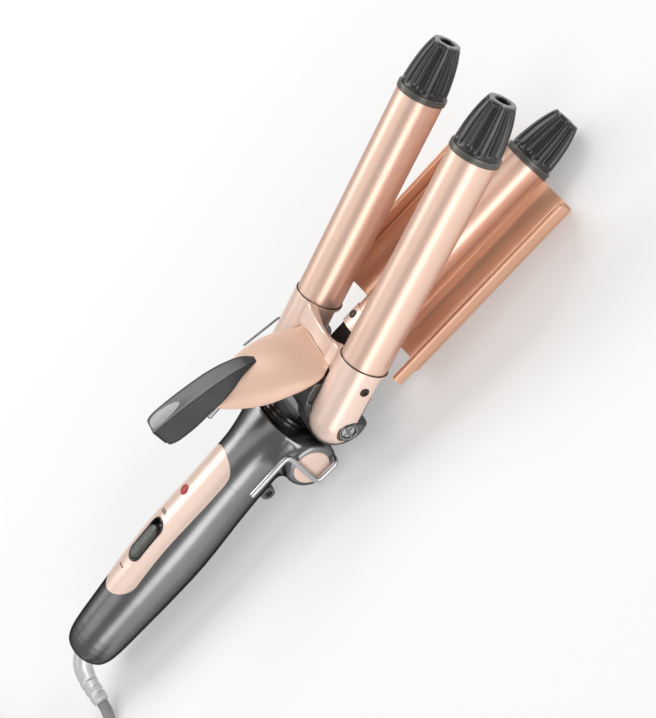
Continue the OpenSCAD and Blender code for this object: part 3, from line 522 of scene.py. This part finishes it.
# Distance to the moulding's skin: neck and shoulder, run together by a fillet
def neckDistance(p):
    h = toolToHandle @ p
    radius = handleRadius(h.z) + neckSpec["grow"] - neckSpec["taper"] * max(0.0, h.z - neckSpec["taperFrom"])
    neck = (math.hypot(h.x / radius, h.y / (radius * neckFlare(h.z))) - 1) * radius
    front, rim = neckSpec["front"] - h.z, neckSpec["rim"]
    if neck > -rim and front > -rim:  # rounded front rim
        neck = math.hypot(max(neck + rim, 0), max(front + rim, 0)) - rim
    else:
        neck = max(neck, front)
    neck = max(neck, h.z - neckSpec["rear"])
    x, z = neckSpec["shoulderAt"]
    r = neckSpec["round"]
    across = math.hypot(p.x - x, p.z - z) - neckSpec["shoulderRadius"] + r
    along = abs(p.y) - neckSpec["halfWidth"] + r
    shoulder = min(max(across, along), 0) + math.hypot(max(across, 0), max(along, 0)) - r
    inside = (neckSpec["halfWidth"] - 1 - abs(p.y)) / neckSpec["capRun"]  # the fillet fades towards the covers
    k = neckSpec["fillet"] * min(1.0, max(0.05, inside))
    near = max(k - abs(neck - shoulder), 0) / k
    return max(min(neck, shoulder) - near * near * k / 4, neckSpec["seat"] - math.hypot(p.x, p.z))


# Shoulder and neck as one moulding, drawn onto that skin
def makeNeck():
    rear, front, wide = neckSpec["rear"], neckSpec["front"], neckSpec["halfWidth"]
    neck = [[0, front]] + [[handleRadius(z), z] for z in (front + (rear - front) * k / 24 for k in range(25))]
    points, faces = latheMesh(neck + [[0, rear]])
    handleToTool = toolToHandle.inverted()
    points = [handleToTool @ Vector((x, y * neckFlare(z), z)) for x, y, z in points]
    bar = [[0, -wide], [11, -wide], [14, -25], [14, 25], [11, wide], [0, wide]]
    where = (neckSpec["shoulderAt"][0], 0, neckSpec["shoulderAt"][1])
    piece = joined("neckHousing", [(points, faces), latheMesh(bar, axis="Y", centre=where)], graphiteSatin, toTool)
    settle(piece, ("REMESH", {"mode": "VOXEL", "voxel_size": neckSpec["voxel"] * mm}))
    back = toTool.inverted()
    step = 0.04
    steps = [Vector((step, 0, 0)), Vector((0, step, 0)), Vector((0, 0, step))]
    for vertex in piece.data.vertices:
        p = back @ vertex.co
        for turn in range(4):
            d = neckDistance(p)
            slope = Vector([(neckDistance(p + s) - d) / step for s in steps])
            p = p - slope * (max(-2.5, min(2.5, d)) / max(slope.length_squared, 0.3))
        vertex.co = toTool @ p
    settle(piece, ("SMOOTH", {"factor": 0.5, "iterations": 3}))
    for vertex in piece.data.vertices:
        vertex.co.z = max(vertex.co.z, 0.0)
    return fit(piece, "handle", "graphite", "shoulder_housing")


makeNeck()

bushSpec = {"start": -31.5, "end": -37.6, "radius": 16.9, "inner": 13.4}


# Glossy stepped ring in the mouth of the neck, behind the jaw
def makeBush():
    start, end, radius, inner = (bushSpec[n] for n in ("start", "end", "radius", "inner"))
    outline = [[inner, start], [radius + 0.6, start], [radius + 0.6, start - 1.6], [radius + 0.3, start - 2.0],
               [radius - 0.5, start - 2.1], [radius - 0.7, start - 2.3], [radius - 0.7, start - 3.8],
               [radius - 1.0, start - 4.2], [radius - 1.9, start - 4.3], [radius - 2.1, start - 4.5],
               [radius - 2.1, end + 0.3], [radius - 2.4, end], [inner, end]]
    return fit(addPiece("neckBush", latheMesh(outline), blackGloss, toHandle, 24), "handle", "black")


makeBush()
for name in ("handle_upper_shell", "handle_lower_shell"):
    nodes[name].data.materials[0] = graphiteSatin
for name in ("inset_panel", "left_side_cap", "right_side_cap", "centre_sleeve"):
    nodes[name].data.materials[0] = roseGloss
nodes["centre_arm"].data.materials[0] = blackGloss

panelRise = 0.35


# Long ring with round ends, as [across, along] points
def pillRing(length, width, count=64):
    half, r = length / 2 - width / 2, width / 2
    ring = []
    for k in range(count):
        front = k < count // 2
        a = math.pi * (k if front else k - 1) / (count // 2 - 1)
        ring.append((r * math.cos(a), (half if front else -half) + r * math.sin(a)))
    return ring


def aboveHandle(y, z, off):
    return math.sqrt(max((handleRadius(z) + off) ** 2 - y * y, 0.01))


lampSpec = {
    "at": 31.3, "side": 2.6, "radius": 3.0,
    "profile": [(0.8, -3.4), (0.86, -1.2), (1.0, -0.6), (1.0, 0.2), (0.93, 0.32), (0.75, 0.58), (0.45, 0.74),
                (0.0, 0.8)],
}


def makeLampLens():
    y, z = lampSpec["side"], lampSpec["at"]
    base = aboveHandle(y, z, panelRise)
    rings = []
    for share, rise in lampSpec["profile"]:
        reach = max(share, 0.02) * lampSpec["radius"]
        rings.append([[base + rise, y + reach * c, z + reach * s] for c, s in circle(40)])
    return fit(addPiece("powerLamp", loftMesh(rings), lampRed, toHandle, 60), "handle", "lamp", "lamp_lens")


makeLampLens()

slotSpec = {"at": 66, "outer": (29.35, 11.35), "crown": (28.45, 10.45), "opening": (27.7, 9.8),
            "floor": (26.6, 8.9), "stem": (8.6, 3.2), "heights": {"floor": 16.25, "under": 15.3}}


# Dark frame of the slide switch, let into the panel
def makeSlot():
    outer, crown, opening, floor, stem = (
        pillRing(*slotSpec[n]) for n in ("outer", "crown", "opening", "floor", "stem"))
    profile = [(outer, -0.7), (outer, 0.42), (crown, 0.62), (opening, 0.5), (opening, -0.6), (floor, -1.4),
               (floor, "floor"), (stem, "floor"), (stem, "under"), (floor, "under")]
    columns = []
    for k in range(len(outer)):
        column = []
        for ring, level in profile:
            y, z = ring[k][0], ring[k][1] + slotSpec["at"]
            fixed = slotSpec["heights"].get(level)
            column.append([fixed or aboveHandle(y, z, panelRise + level), y, z])
        columns.append(column)
    solid = loftMesh(columns, loop=True)
    return fit(addPiece("switchFrame", solid, blackGloss, toHandle, 40), "handle", "black", "switch_bezel")


makeSlot()

knobSpec = {"at": 68, "length": 23.2, "width": 9.1, "low": 16.32, "top": 20.5, "endDrop": 1.1, "ribs": 15,
            "ribPitch": 1.25, "ribDepth": 0.2, "steps": 240}


# Slide knob: a long rounded pad with fine cross ribs
def makeKnob():
    rings = []
    half, cap = knobSpec["length"] / 2, knobSpec["width"] / 2
    for k in range(knobSpec["steps"] + 1):
        z = -half + knobSpec["length"] * k / knobSpec["steps"]
        inset = max(0.0, abs(z) - (half - cap)) / cap
        wide = cap * math.sqrt(max(1 - inset ** 2, 0.002))
        top = knobSpec["top"] - knobSpec["endDrop"] * inset ** 3
        if abs(z) < knobSpec["ribPitch"] * knobSpec["ribs"] / 2:
            top -= knobSpec["ribDepth"] * (0.5 + 0.5 * math.cos(math.tau * z / knobSpec["ribPitch"]))
        section = []
        for n in range(28):
            a = math.pi * n / 27
            y = wide * math.copysign(abs(math.cos(a)) ** 0.75, math.cos(a))
            x = knobSpec["low"] + (top - knobSpec["low"]) * abs(math.sin(a)) ** 0.42
            section.append([x, y, knobSpec["at"] + z])
        rings.append(section)
    stem = [(x, y, z) for x in (11.4, 16.6) for y in (-1.2, 1.2) for z in (65.5, 68.5)]
    stemFaces = [(0, 1, 3, 2), (4, 6, 7, 5), (0, 4, 5, 1), (2, 3, 7, 6), (0, 2, 6, 4), (1, 5, 7, 3)]
    piece = joined("slideKnob", [loftMesh(rings), (stem, stemFaces)], knobGrey, toHandle)
    return fit(piece, "switch", "black", "switch_knob")


makeKnob()

markSpec = {"lines": [((0.2, 48.2), (6.6, 49.5)), ((0.6, 47.1), (6.6, 48.3)), ((-0.6, 87.3), (5.0, 87.9))],
            "width": 0.8, "proud": 0.1}


# Height on the panel at a place, or above the handle where there is no panel
def onPanel(y, z, off):
    panel = nodes["inset_panel"]
    place = panel.matrix_world.inverted() @ toHandle
    start = place @ Vector((30, y, z))
    hit = panel.ray_cast(start, (place @ Vector((0, y, z)) - start).normalized())
    if not hit[0]:
        return aboveHandle(y, z, off)
    return (place.inverted() @ hit[1]).x + off


# Position strokes before and behind the switch, laid on the panel
def makeMarks():
    parts = []
    for (y0, z0), (y1, z1) in markSpec["lines"]:
        run = Vector((y1 - y0, z1 - z0)).normalized()
        side = Vector((-run.y, run.x)) * markSpec["width"] / 2
        rings = []
        for k in range(13):
            t = k / 12
            narrow = 1 if 0 < k < 12 else 0.4
            ring = []
            for across, level in ((-1, -2.5), (-1, 0.6), (-0.6, 1), (0.6, 1), (1, 0.6), (1, -2.5)):
                y = y0 + (y1 - y0) * t + side.x * across * narrow
                z = z0 + (z1 - z0) * t + side.y * across * narrow
                ring.append([onPanel(y, z, markSpec["proud"] * level), y, z])
            rings.append(ring)
        parts.append(loftMesh(rings))
    return fit(joined("switchMarks", parts, markBrown, toHandle), "handle", "black")


makeMarks()
print("handle made")


for name in ("left_barrel", "centre_barrel", "right_barrel"):
    nodes[name].data.materials[0] = roseCoat

tipSpec = {
    "front": 159, "length": 26, "flutes": 16, "depth": 1.15, "fluteWide": 0.62, "fluteStart": 0.05,
    "fluteStop": 0.955, "mouth": [(6.7, -0.001), (6.3, -0.001), (4.1, 0), (3.6, -0.5), (3.6, -7)],
    "outline": [[12.2, 0], [11.9, 0.18], [11.1, 0.42], [9.9, 0.66], [8.4, 0.86], [7.0, 1]],
}


# Depth of the cut at an angle and a share of the cap's length
def fluteAt(angle, t):
    phase = (angle * tipSpec["flutes"] / math.tau) % 1.0
    across = abs(phase - 0.5) * 2
    cut = max(0.0, 1 - (across / tipSpec["fluteWide"]) ** 2) ** 0.8
    begun = min(1.0, max(0.0, (t - tipSpec["fluteStart"]) / 0.10))
    fade = begun * min(1.0, max(0.0, (tipSpec["fluteStop"] - t) / 0.06))
    return tipSpec["depth"] * cut * math.sqrt(fade) * (1 - 0.25 * t)


def capMesh(front):
    around = circle(tipSpec["flutes"] * 12)
    end = front + tipSpec["length"]
    rings = []
    for radius, t in smoothRun(tipSpec["outline"], 40):
        ring = []
        for n, (c, s) in enumerate(around):
            r = radius - fluteAt(math.tau * n / len(around), t)
            ring.append([front + t * tipSpec["length"], r * c, r * s])
        rings.append(ring)
    rings += [[[end + x, r * c, r * s] for c, s in around] for r, x in tipSpec["mouth"]]
    return loftMesh(rings)


rimOutline = [[4.3, -0.3], [6.95, -0.3], [7.15, -0.1], [7.1, 0.12], [6.8, 0.26], [4.6, 0.26], [4.2, 0.1]]
collarOutline = [[9.6, 155.6], [12.9, 155.52], [13.12, 155.7], [13.2, 156.1], [13.2, 156.9], [13.0, 157.1],
                 [13.0, 157.3], [13.2, 157.5], [13.2, 158.4], [13.05, 158.8], [12.7, 158.98], [9.6, 158.98]]


# Ring of revolution round X, from a closed [radius, station] outline
def ringMesh(outline):
    return loftMesh([[[x, r * c, r * s] for r, x in outline] for c, s in circle(128)], loop=True)


# Cap, its bright rim and the collar at the front of one barrel
def dressBarrel(side, body, place):
    cap = addPiece(side + "TipCap", capMesh(tipSpec["front"]), capBlack, place, 40)
    fit(cap, body, "cap_ribbed", side + "_cap")
    end = tipSpec["front"] + tipSpec["length"]
    rim = addPiece(side + "TipRim", ringMesh([[r, end + x - 0.26] for r, x in rimOutline]), rimGrey, place)
    fit(rim, body, "cap_ribbed")
    collar = addPiece(side + "TipCollar", ringMesh(collarOutline), collarGrey, place)
    fit(collar, body, "collar", side + "_collar")


seamOutline = [[12.3, 35.15], [13.1, 35.15], [13.2, 35.25], [13.2, 35.5], [13.1, 35.62], [12.3, 35.62]]


# Dark joint line between a sleeve's mouth and its barrel
def makeSeam(side, place):
    fit(addPiece(side + "SeamRing", ringMesh(seamOutline), darkSteel, place), "jaw", "steel")


outerY, outerZ = 29.25, 3
outerPlaces = {side: toJaw @ Matrix.Translation((0, y, outerZ))
               for side, y in (("left", outerY), ("right", -outerY))}
for side, place in outerPlaces.items():
    makeSeam(side, place)
dressBarrel("centre", "handle", toTool)
for side, place in outerPlaces.items():
    dressBarrel(side, "jaw", place)
print("barrels dressed")


# A copy of a CAD part with its edges and inner corners rounded
def softened(node, name, material, voxel, rounds):
    piece = addObject(name, nodes[node].data.copy())
    settle(piece, ("REMESH", {"mode": "VOXEL", "voxel_size": voxel * mm}),
           ("SMOOTH", {"factor": 0.5, "iterations": rounds}))
    piece.data.materials.clear()
    piece.data.materials.append(material)
    return piece


fit(softened("sleeve_bridge", "sleevePair", roseGloss, 0.42, 4), "jaw", "rose_gloss", "sleeve_bridge")
# The black clamp housing takes the mid-grey: painted sheen
fit(softened("clamp_housing", "jawHousing", cupPaintedSheen, 0.42, 6), "jaw", "black", "clamp_housing")

drumSpec = {"radius": 16.5, "inner": 13.25, "outer": 23.9, "bands": [16.6, 20.6], "bandWidth": 0.9,
            "bandDepth": 0.55, "from": 83, "sweep": 194}


# Glossy rounded back of the jaw beside the neck, with turned bands
def makeDrum(side):
    start, stop, radius = drumSpec["inner"], drumSpec["outer"], drumSpec["radius"]
    outline = [[3.2, start], [radius - 0.6, start], [radius - 0.1, start + 0.3]]
    for k in range(61):
        y = start + 0.6 + (stop - start - 1.2) * k / 60
        dip = sum(drumSpec["bandDepth"] * max(0.0, 1 - ((y - band) / drumSpec["bandWidth"]) ** 2)
                  for band in drumSpec["bands"])
        outline.append([radius + 0.08 - dip, y])
    outline += [[radius - 0.1, stop - 0.3], [radius - 0.7, stop], [3.2, stop]]
    angles = [math.radians(drumSpec["from"] + drumSpec["sweep"] * k / 48) for k in range(49)]
    return loftMesh([[[r * math.cos(a), side * y, r * math.sin(a)] for a in angles] + [[0.3, side * y, 0.0]]
                     for r, y in outline])


# The drum, black too, takes the same mid-grey: painted sheen
fit(joined("jawDrum", [makeDrum(1), makeDrum(-1)], cupPaintedSheen, toJaw), "jaw", "black")

domeSpec = {
    "rows": [[[22, 12.1], [23, 17.5, 12.6]], [[20.4, 19], [16.5, 21, 15.4]], [[17.6, 29], [9.6, 22.4, 22.6]],
             [[13.4, 37], [3.4, 21.6, 29.2]], [[8, 44], [-3, 19.6, 35]], [[1.5, 50], [-9.4, 16.2, 41.6]],
             [[-6.5, 55], [-14.8, 12, 49.6]], [[-14.5, 58.6], [-17.8, 8.6, 56.6]]],
    "thick": 2.4, "along": 72, "across": 60, "lip": 0.5, "flat": 12.28,
}


def domePoint(u, t, sunk):
    middle = curvePoint([row[0] for row in domeSpec["rows"]], u)
    edge = curvePoint([row[1] for row in domeSpec["rows"]], u)
    b, wide, f = t * t, edge[1] - 0.7 * sunk, math.sin(math.pi / 2 * t)
    ease = 1 - 0.6 * b
    return [middle[0] + (edge[0] - middle[0]) * b - 0.8 * sunk * ease, wide * f,
            middle[1] + (edge[2] - middle[1]) * b - 0.6 * sunk * ease]


# Matte cover from the bridge to the lever, with a rounded lip along its edge
def makeDome():
    last = len(domeSpec["rows"]) - 1
    across, lip, thick = domeSpec["across"], domeSpec["lip"], domeSpec["thick"]
    spans = [-1 + 2 * n / across for n in range(across + 1)]
    edge = (0.35, 0.7, 0.88)
    rings = []
    for k in range(domeSpec["along"] + 1):
        u = last * k / domeSpec["along"]
        ring = [domePoint(u, t, lip * max(0.0, (abs(t) - 0.965) / 0.035) ** 2) for t in spans]
        ring += [domePoint(u, 1, thick * sunk + 0.2) for sunk in edge]
        ring += [domePoint(u, t, thick) for t in reversed(spans)]
        ring += [domePoint(u, -1, thick * sunk + 0.2) for sunk in reversed(edge)]
        rings.append([[x, y, max(z, domeSpec["flat"])] for x, y, z in ring])
    return fit(addPiece("domeCover", loftMesh(rings), peachMatte, toJaw, 50), "jaw", "peach", "dome_cover")


makeDome()

leverSpec = {
    "rows": [[[9.5, 42.8], 1.9, 2.8, 1.6], [[7, 48.4], 3.9, 5.6, 4.4], [[1.4, 55], 5.1, 8.4, 6.4],
             [[-6, 61.4], 5.9, 10.8, 8.4], [[-13.6, 66.8], 6.2, 11.3, 9.7], [[-23, 73], 6.3, 12, 11],
             [[-33, 78.9], 6.3, 12, 10.8], [[-38.2, 81.3], 5.9, 11.2, 9.4], [[-40, 81.9], 4.8, 9.8, 7.6]],
    "along": 96, "dishAt": 5.75, "dishHalf": 1.5, "dishWide": 5.2, "dishDeep": 0.3,
}
thumbHighlightSpec = {"at": 6.2, "ahead": 1.2, "behind": 1.25, "wide": 4.5, "rise": 0.07}


def leverRow(u):
    flat = [[*row[0], *row[1:]] for row in leverSpec["rows"]]
    return curvePoint(flat, min(max(u, 0), len(flat) - 1))


# Middle of the lever's top at u, and the way up from it
def leverFrame(u):
    x, z = leverRow(u)[:2]
    ahead, behind = leverRow(u + 0.05), leverRow(u - 0.05)
    run = Vector((ahead[0] - behind[0], 0, ahead[1] - behind[1])).normalized()
    up = Vector((run.z, 0, -run.x))
    return Vector((x, 0, z)), -up if up.z < 0 else up


# Depth of the worn dish in the lever's top
def leverDish(u, w):
    away = ((u - leverSpec["dishAt"]) / leverSpec["dishHalf"]) ** 2 + (w / leverSpec["dishWide"]) ** 2
    return leverSpec["dishDeep"] * max(0.0, 1 - away) ** 0.75


# Thumb lever: flat top with a worn dish, sloping sides and softened edges
def makeLever():
    last = len(leverSpec["rows"]) - 1
    rings = []
    for k in range(leverSpec["along"] + 1):
        u = last * k / leverSpec["along"]
        top, bottom, deep = leverRow(u)[2:]
        middle, up = leverFrame(u)
        side = [(w * top, d) for w, d in ((0, 0), (0.25, 0), (0.5, 0), (0.75, 0), (0.92, 0.03))]
        side += [(top + 0.28, 0.3), (top + 0.5, 0.75)]
        side += [(top + 0.5 + (bottom - 0.5 - top - 0.5) * s, 0.75 + (0.86 * deep - 0.75) * s)
                 for s in (0.2, 0.4, 0.6, 0.8, 0.93)]
        side += [(bottom - 0.5, 0.9 * deep), (bottom - 0.75, 0.965 * deep), (bottom - 1.2, deep),
                 ((bottom - 1) * 0.5, deep)]
        ring = side + [(0, deep)] + [(-w, d) for w, d in reversed(side[1:])]
        rings.append([middle + Vector((0, w, 0)) - up * (d + (leverDish(u, w) if d < 0.1 else 0))
                      for w, d in ring])
    piece = addPiece("thumbLever", loftMesh(rings), leverSatin, toJaw, 26)
    piece.data.materials.append(leverShadeFlank)
    # Faces turned sideways take the darker copy: painted shade on the lever's sides
    for face in piece.data.polygons:
        face.material_index = int(abs(face.normal.y) > 0.3)
    return fit(piece, "jaw", "graphite", "thumb_lever")


makeLever()


# Paler oval patch on the lever's top near its end, over the dish: painted highlight
def makeHighlightPatch():
    rise = thumbHighlightSpec["rise"]
    profile = [(1.0, -0.9), (1.0, 0.0), (0.985, 0.05)] + [(scale, rise) for scale in (0.95, 0.8, 0.6, 0.4, 0.2, 0.03)]
    rings = []
    for scale, level in profile:
        ring = []
        for c, s in circle(56):
            u = thumbHighlightSpec["at"] + thumbHighlightSpec["behind" if c < 0 else "ahead"] * scale * c
            w = thumbHighlightSpec["wide"] * scale * s
            middle, up = leverFrame(u)
            ring.append(middle + Vector((0, w, 0)) + up * (level - leverDish(u, w)))
        rings.append(ring)
    return fit(addPiece("thumbHighlightPatch", loftMesh(rings), padHighlightGrey, toJaw, 40), "jaw", "graphite")


makeHighlightPatch()


# Pan head with a cross recess, standing along +Z
def makeScrew(name, radius, place, body, slot, *replaced):
    outline = [[0, -1.6], [radius * 0.62, -1.6], [radius * 0.62, -0.2], [radius, -0.2], [radius, 0.25],
               [radius * 0.93, 0.5], [radius * 0.72, 0.72], [radius * 0.4, 0.84], [0, 0.86]]
    piece = addPiece(name, latheMesh(outline, 48), darkSteel, place)
    half = [(radius * 0.62, radius * 0.13 * narrow, z) for narrow, z in ((0.6, 0.25), (1, 1.5))]
    box = [Vector((x * w, y * h, z)) for w, h, z in half for x, y in ((-1, -1), (1, -1), (1, 1), (-1, 1))]
    for index, angle in enumerate((20, 110)):
        turner = Matrix.Rotation(math.radians(angle), 4, "Z")
        cutter = joined(f"{name}Cut{index}", [([turner @ corner for corner in box], boxFaces)], darkSteel, place)
        settle(piece, ("BOOLEAN", {"operation": "DIFFERENCE", "object": cutter, "solver": "EXACT"}))
        bpy.data.objects.remove(cutter)
    piece.data.set_sharp_from_angle(angle=math.radians(35))
    return fit(piece, body, slot, *replaced)


for side, sign in (("left", 1), ("right", -1)):
    where = toJaw @ Matrix.Translation((25.5, sign * 42.1, outerZ + 1))
    where = where @ Matrix.Rotation(-sign * math.pi / 2, 4, "X")
    makeScrew(side + "SleeveScrew", 2.4, where, "jaw", "steel", *(["sleeve_screws"] if sign > 0 else []))
makeScrew("armScrew", 2.3, toTool @ Matrix.Translation((41, 2.5, 12.95)), "handle", "steel", "centre_screw")
print("jaw made")


springSpec = {"radius": 4.4, "wire": 1.4, "turns": 3.25, "pitch": 1.85, "perTurn": 24}


def makeSpring(name, sign, start, leg, node):
    coil = []
    count = round(springSpec["turns"] * springSpec["perTurn"])
    for k in range(count + 1):
        a = math.radians(-45) + math.tau * k / springSpec["perTurn"]
        coil.append(Vector((springSpec["radius"] * math.cos(a),
                            sign * (start + springSpec["pitch"] * k / springSpec["perTurn"]),
                            springSpec["radius"] * math.sin(a))))
    tip = coil[-1]
    legs = roundedPath([tip, *[tip + Vector((x, sign * y, z)) for x, y, z in leg]], 1.6, 6)
    solid = tubeMesh(coil + legs[1:], springSpec["wire"] / 2, 14, True)
    return fit(addPiece(name, solid, springSteel, toJaw, 60), "jaw", "bright", node)


makeSpring("leftSpring", 1, 37.4, [[2, 0.1, 1.4], [6.5, 0.4, 5], [5.6, 0.6, 6.8], [-14, 0.9, 18.4]], "left_spring")
makeSpring("rightSpring", -1, 35.8, [[-1.6, 0.35, -1.6], [-5.6, 0.7, -5.6]], "right_spring")
nodes["pivot_pin"].data.materials[0] = brightWire

standSpec = {"wire": 3.0, "legY": 32.5, "corner": 3.2,
             "leg": [(-58.3, 10.4), (-30.4, 11), (-35.4, -17), (-20.4, -17.6)]}


def makeStand():
    right = [(x, -standSpec["legY"], z) for x, z in standSpec["leg"]]
    left = [(x, standSpec["legY"], z) for x, z in reversed(standSpec["leg"])]
    solid = tubeMesh(roundedPath(right + left, standSpec["corner"], 9), standSpec["wire"] / 2, 20, True)
    return fit(addPiece("standWire", solid, brightWire, toTool, 60), "stand", "bright", "stand_wire")


makeStand()


nodes["wave_plate"].data.materials[0] = copperSatin

hemSpec = {"rear": 37, "front": 155.3, "outer": 45.6, "low": 0.2, "grooveEnd": 150, "endRound": 1.7,
           "middle": (44.0, 3.2)}


# Folded hem as (inset from the outer face, height) points, with the groove between its layers at that depth
def hemSection(deep):
    return [(1.6, 0.0), (0.9, 0.12), (0.35, 0.5), (0.06, 1.1), (0.0, 1.9), (0.0, 3.6), (0.0, 5.3), (0.12, 5.95),
            (0.45, 6.5), (0.85, 6.74), (1.2, 6.74), (1.55, 6.5), (1.78, 6.1), (1.86, 6.0 - deep * 0.5),
            (1.95, 6.0 - deep), (2.15, 6.0 - deep), (2.24, 6.0 - deep * 0.5), (2.34, 6.15), (2.6, 6.45), (2.9, 6.45),
            (3.14, 6.15), (3.18, 5.4), (3.18, 3.4), (3.18, 1.4), (3.0, 0.6), (2.5, 0.12)]


def makeHem(name, sign, node):
    rear, front, end, bend = (hemSpec[n] for n in ("rear", "front", "grooveEnd", "endRound"))
    stations = [rear, rear + 0.3, rear + 0.8, *(rear + 2 + (end - rear - 3) * k / 30 for k in range(31))]
    stations += [end - 0.4, end, end + 1, 153]
    stations += [front - bend * (1 - math.sin(math.radians(a))) for a in (0, 20, 40, 60, 75, 90)]
    rings = []
    for x in stations:
        ahead = max(0.0, x - (front - bend)) / bend
        shrink = 1 - math.sqrt(max(0.0, 1 - ahead * ahead))
        pinch = 1.0 if x == rear else 0.0
        ring = []
        for inset, height in hemSection(1.9 if x < end - 0.3 else 0.0):
            y, z = hemSpec["outer"] - inset, hemSpec["low"] + height
            y += (hemSpec["middle"][0] - y) * (0.35 * shrink + 0.0375 * pinch)
            z += (hemSpec["middle"][1] - z) * (0.42 * shrink + 0.025 * pinch)
            ring.append([x, sign * y, z])
        rings.append(ring)
    return fit(addPiece(name, loftMesh(rings), copperSatin, toTool, 38), "handle", "copper", node)


makeHem("leftHem", 1, "left_edge_rail")
makeHem("rightHem", -1, "right_edge_rail")
print("plate made")


inside = {
    "switch_body": blackGloss, "circuit_board": boardGreen, "cord_clamp": whiteNylon, "wiring_harness": whiteNylon,
    "handle_screws": darkSteel, "centre_heater": heaterPlate, "left_heater": heaterPlate,
    "right_heater": heaterPlate, "plug_pins": brightWire,
}
for name, material in inside.items():
    nodes[name].data.materials[0] = material


floorSpec = {"size": 40.0, "colour": (0.95, 0.95, 0.95), "lit": 0.3}


def makeFloor():
    half = floorSpec["size"] / 2
    mesh = bpy.data.meshes.new("studioFloor")
    corners = [(-half, -half), (half, -half), (half, half), (-half, half)]
    mesh.from_pydata([(x, y, -0.0001) for x, y in corners], [], [(0, 1, 2, 3)])
    material, tree, shader = startMaterial("floorPaper")
    low = tuple(c - 0.01 for c in floorSpec["colour"])
    paper = blendColour(tree, spread(tree, grainAt(tree, 900, 3.0), 0.0, 1.0), low, floorSpec["colour"])
    tree.links.new(paper, shader.inputs["Base Color"])
    shader.inputs["Roughness"].default_value = 0.9
    shader.inputs["Specular IOR Level"].default_value = 0.1
    rays = addNode(tree, "ShaderNodeLightPath").outputs
    seen = combine(tree, "ADD", rays["Is Camera Ray"], rays["Is Glossy Ray"])
    seen = addNode(tree, "ShaderNodeMath", {"operation": "ADD", "use_clamp": True}, i0=seen,
                   i1=rays["Is Transmission Ray"]).outputs[0]
    share = combine(tree, "MULTIPLY", seen, floorSpec["lit"])
    white = addNode(tree, "ShaderNodeEmission", Color=(1, 1, 1, 1), Strength=1.0)
    both = addNode(tree, "ShaderNodeMixShader", i0=share, i1=shader.outputs[0], i2=white.outputs[0])
    tree.links.new(both.outputs[0], tree.nodes["Material Output"].inputs["Surface"])
    mesh.materials.append(material)
    floor = addObject("studioFloor", mesh)


makeFloor()

lampSpecs = [
    {"name": "sideSoftbox", "angle": 165, "along": 0.0, "distance": 1.7, "size": (2.8, 0.7), "power": 19},
    {"name": "farSoftbox", "angle": 52, "along": 0.1, "distance": 1.8, "size": (2.8, 0.9), "power": 27},
    {"name": "topSoftbox", "angle": 92, "along": -0.3, "distance": 2.0, "size": (2.2, 1.2), "power": 6},
]


# Softbox seen from the tool at an angle round the X axis, counted from +Y up
def makeLamp(spec):
    light = bpy.data.lights.new(spec["name"], "AREA")
    light.shape = "RECTANGLE"
    light.size, light.size_y = spec["size"]
    light.energy = spec["power"]
    lamp = addObject(spec["name"], light)
    a = math.radians(spec["angle"])
    away = Vector((spec["along"], math.cos(a), math.sin(a))).normalized()
    aside = Vector((1, 0, 0))
    upward = away.cross(aside).normalized()
    aside = upward.cross(away)
    turn = Matrix((aside, upward, away)).transposed().to_4x4()
    lamp.matrix_world = Matrix.Translation(Vector((0.0, 0, 0.03)) + away * spec["distance"]) @ turn


for spec in lampSpecs:
    makeLamp(spec)

world = bpy.data.worlds.new("studioWorld")
bpy.context.scene.world = world
world.use_nodes = True
background = world.node_tree.nodes["Background"]
background.inputs["Color"].default_value = (1, 1, 1, 1)
background.inputs["Strength"].default_value = 0.32
bpy.context.scene.view_settings.view_transform = "Standard"
print("studio set")
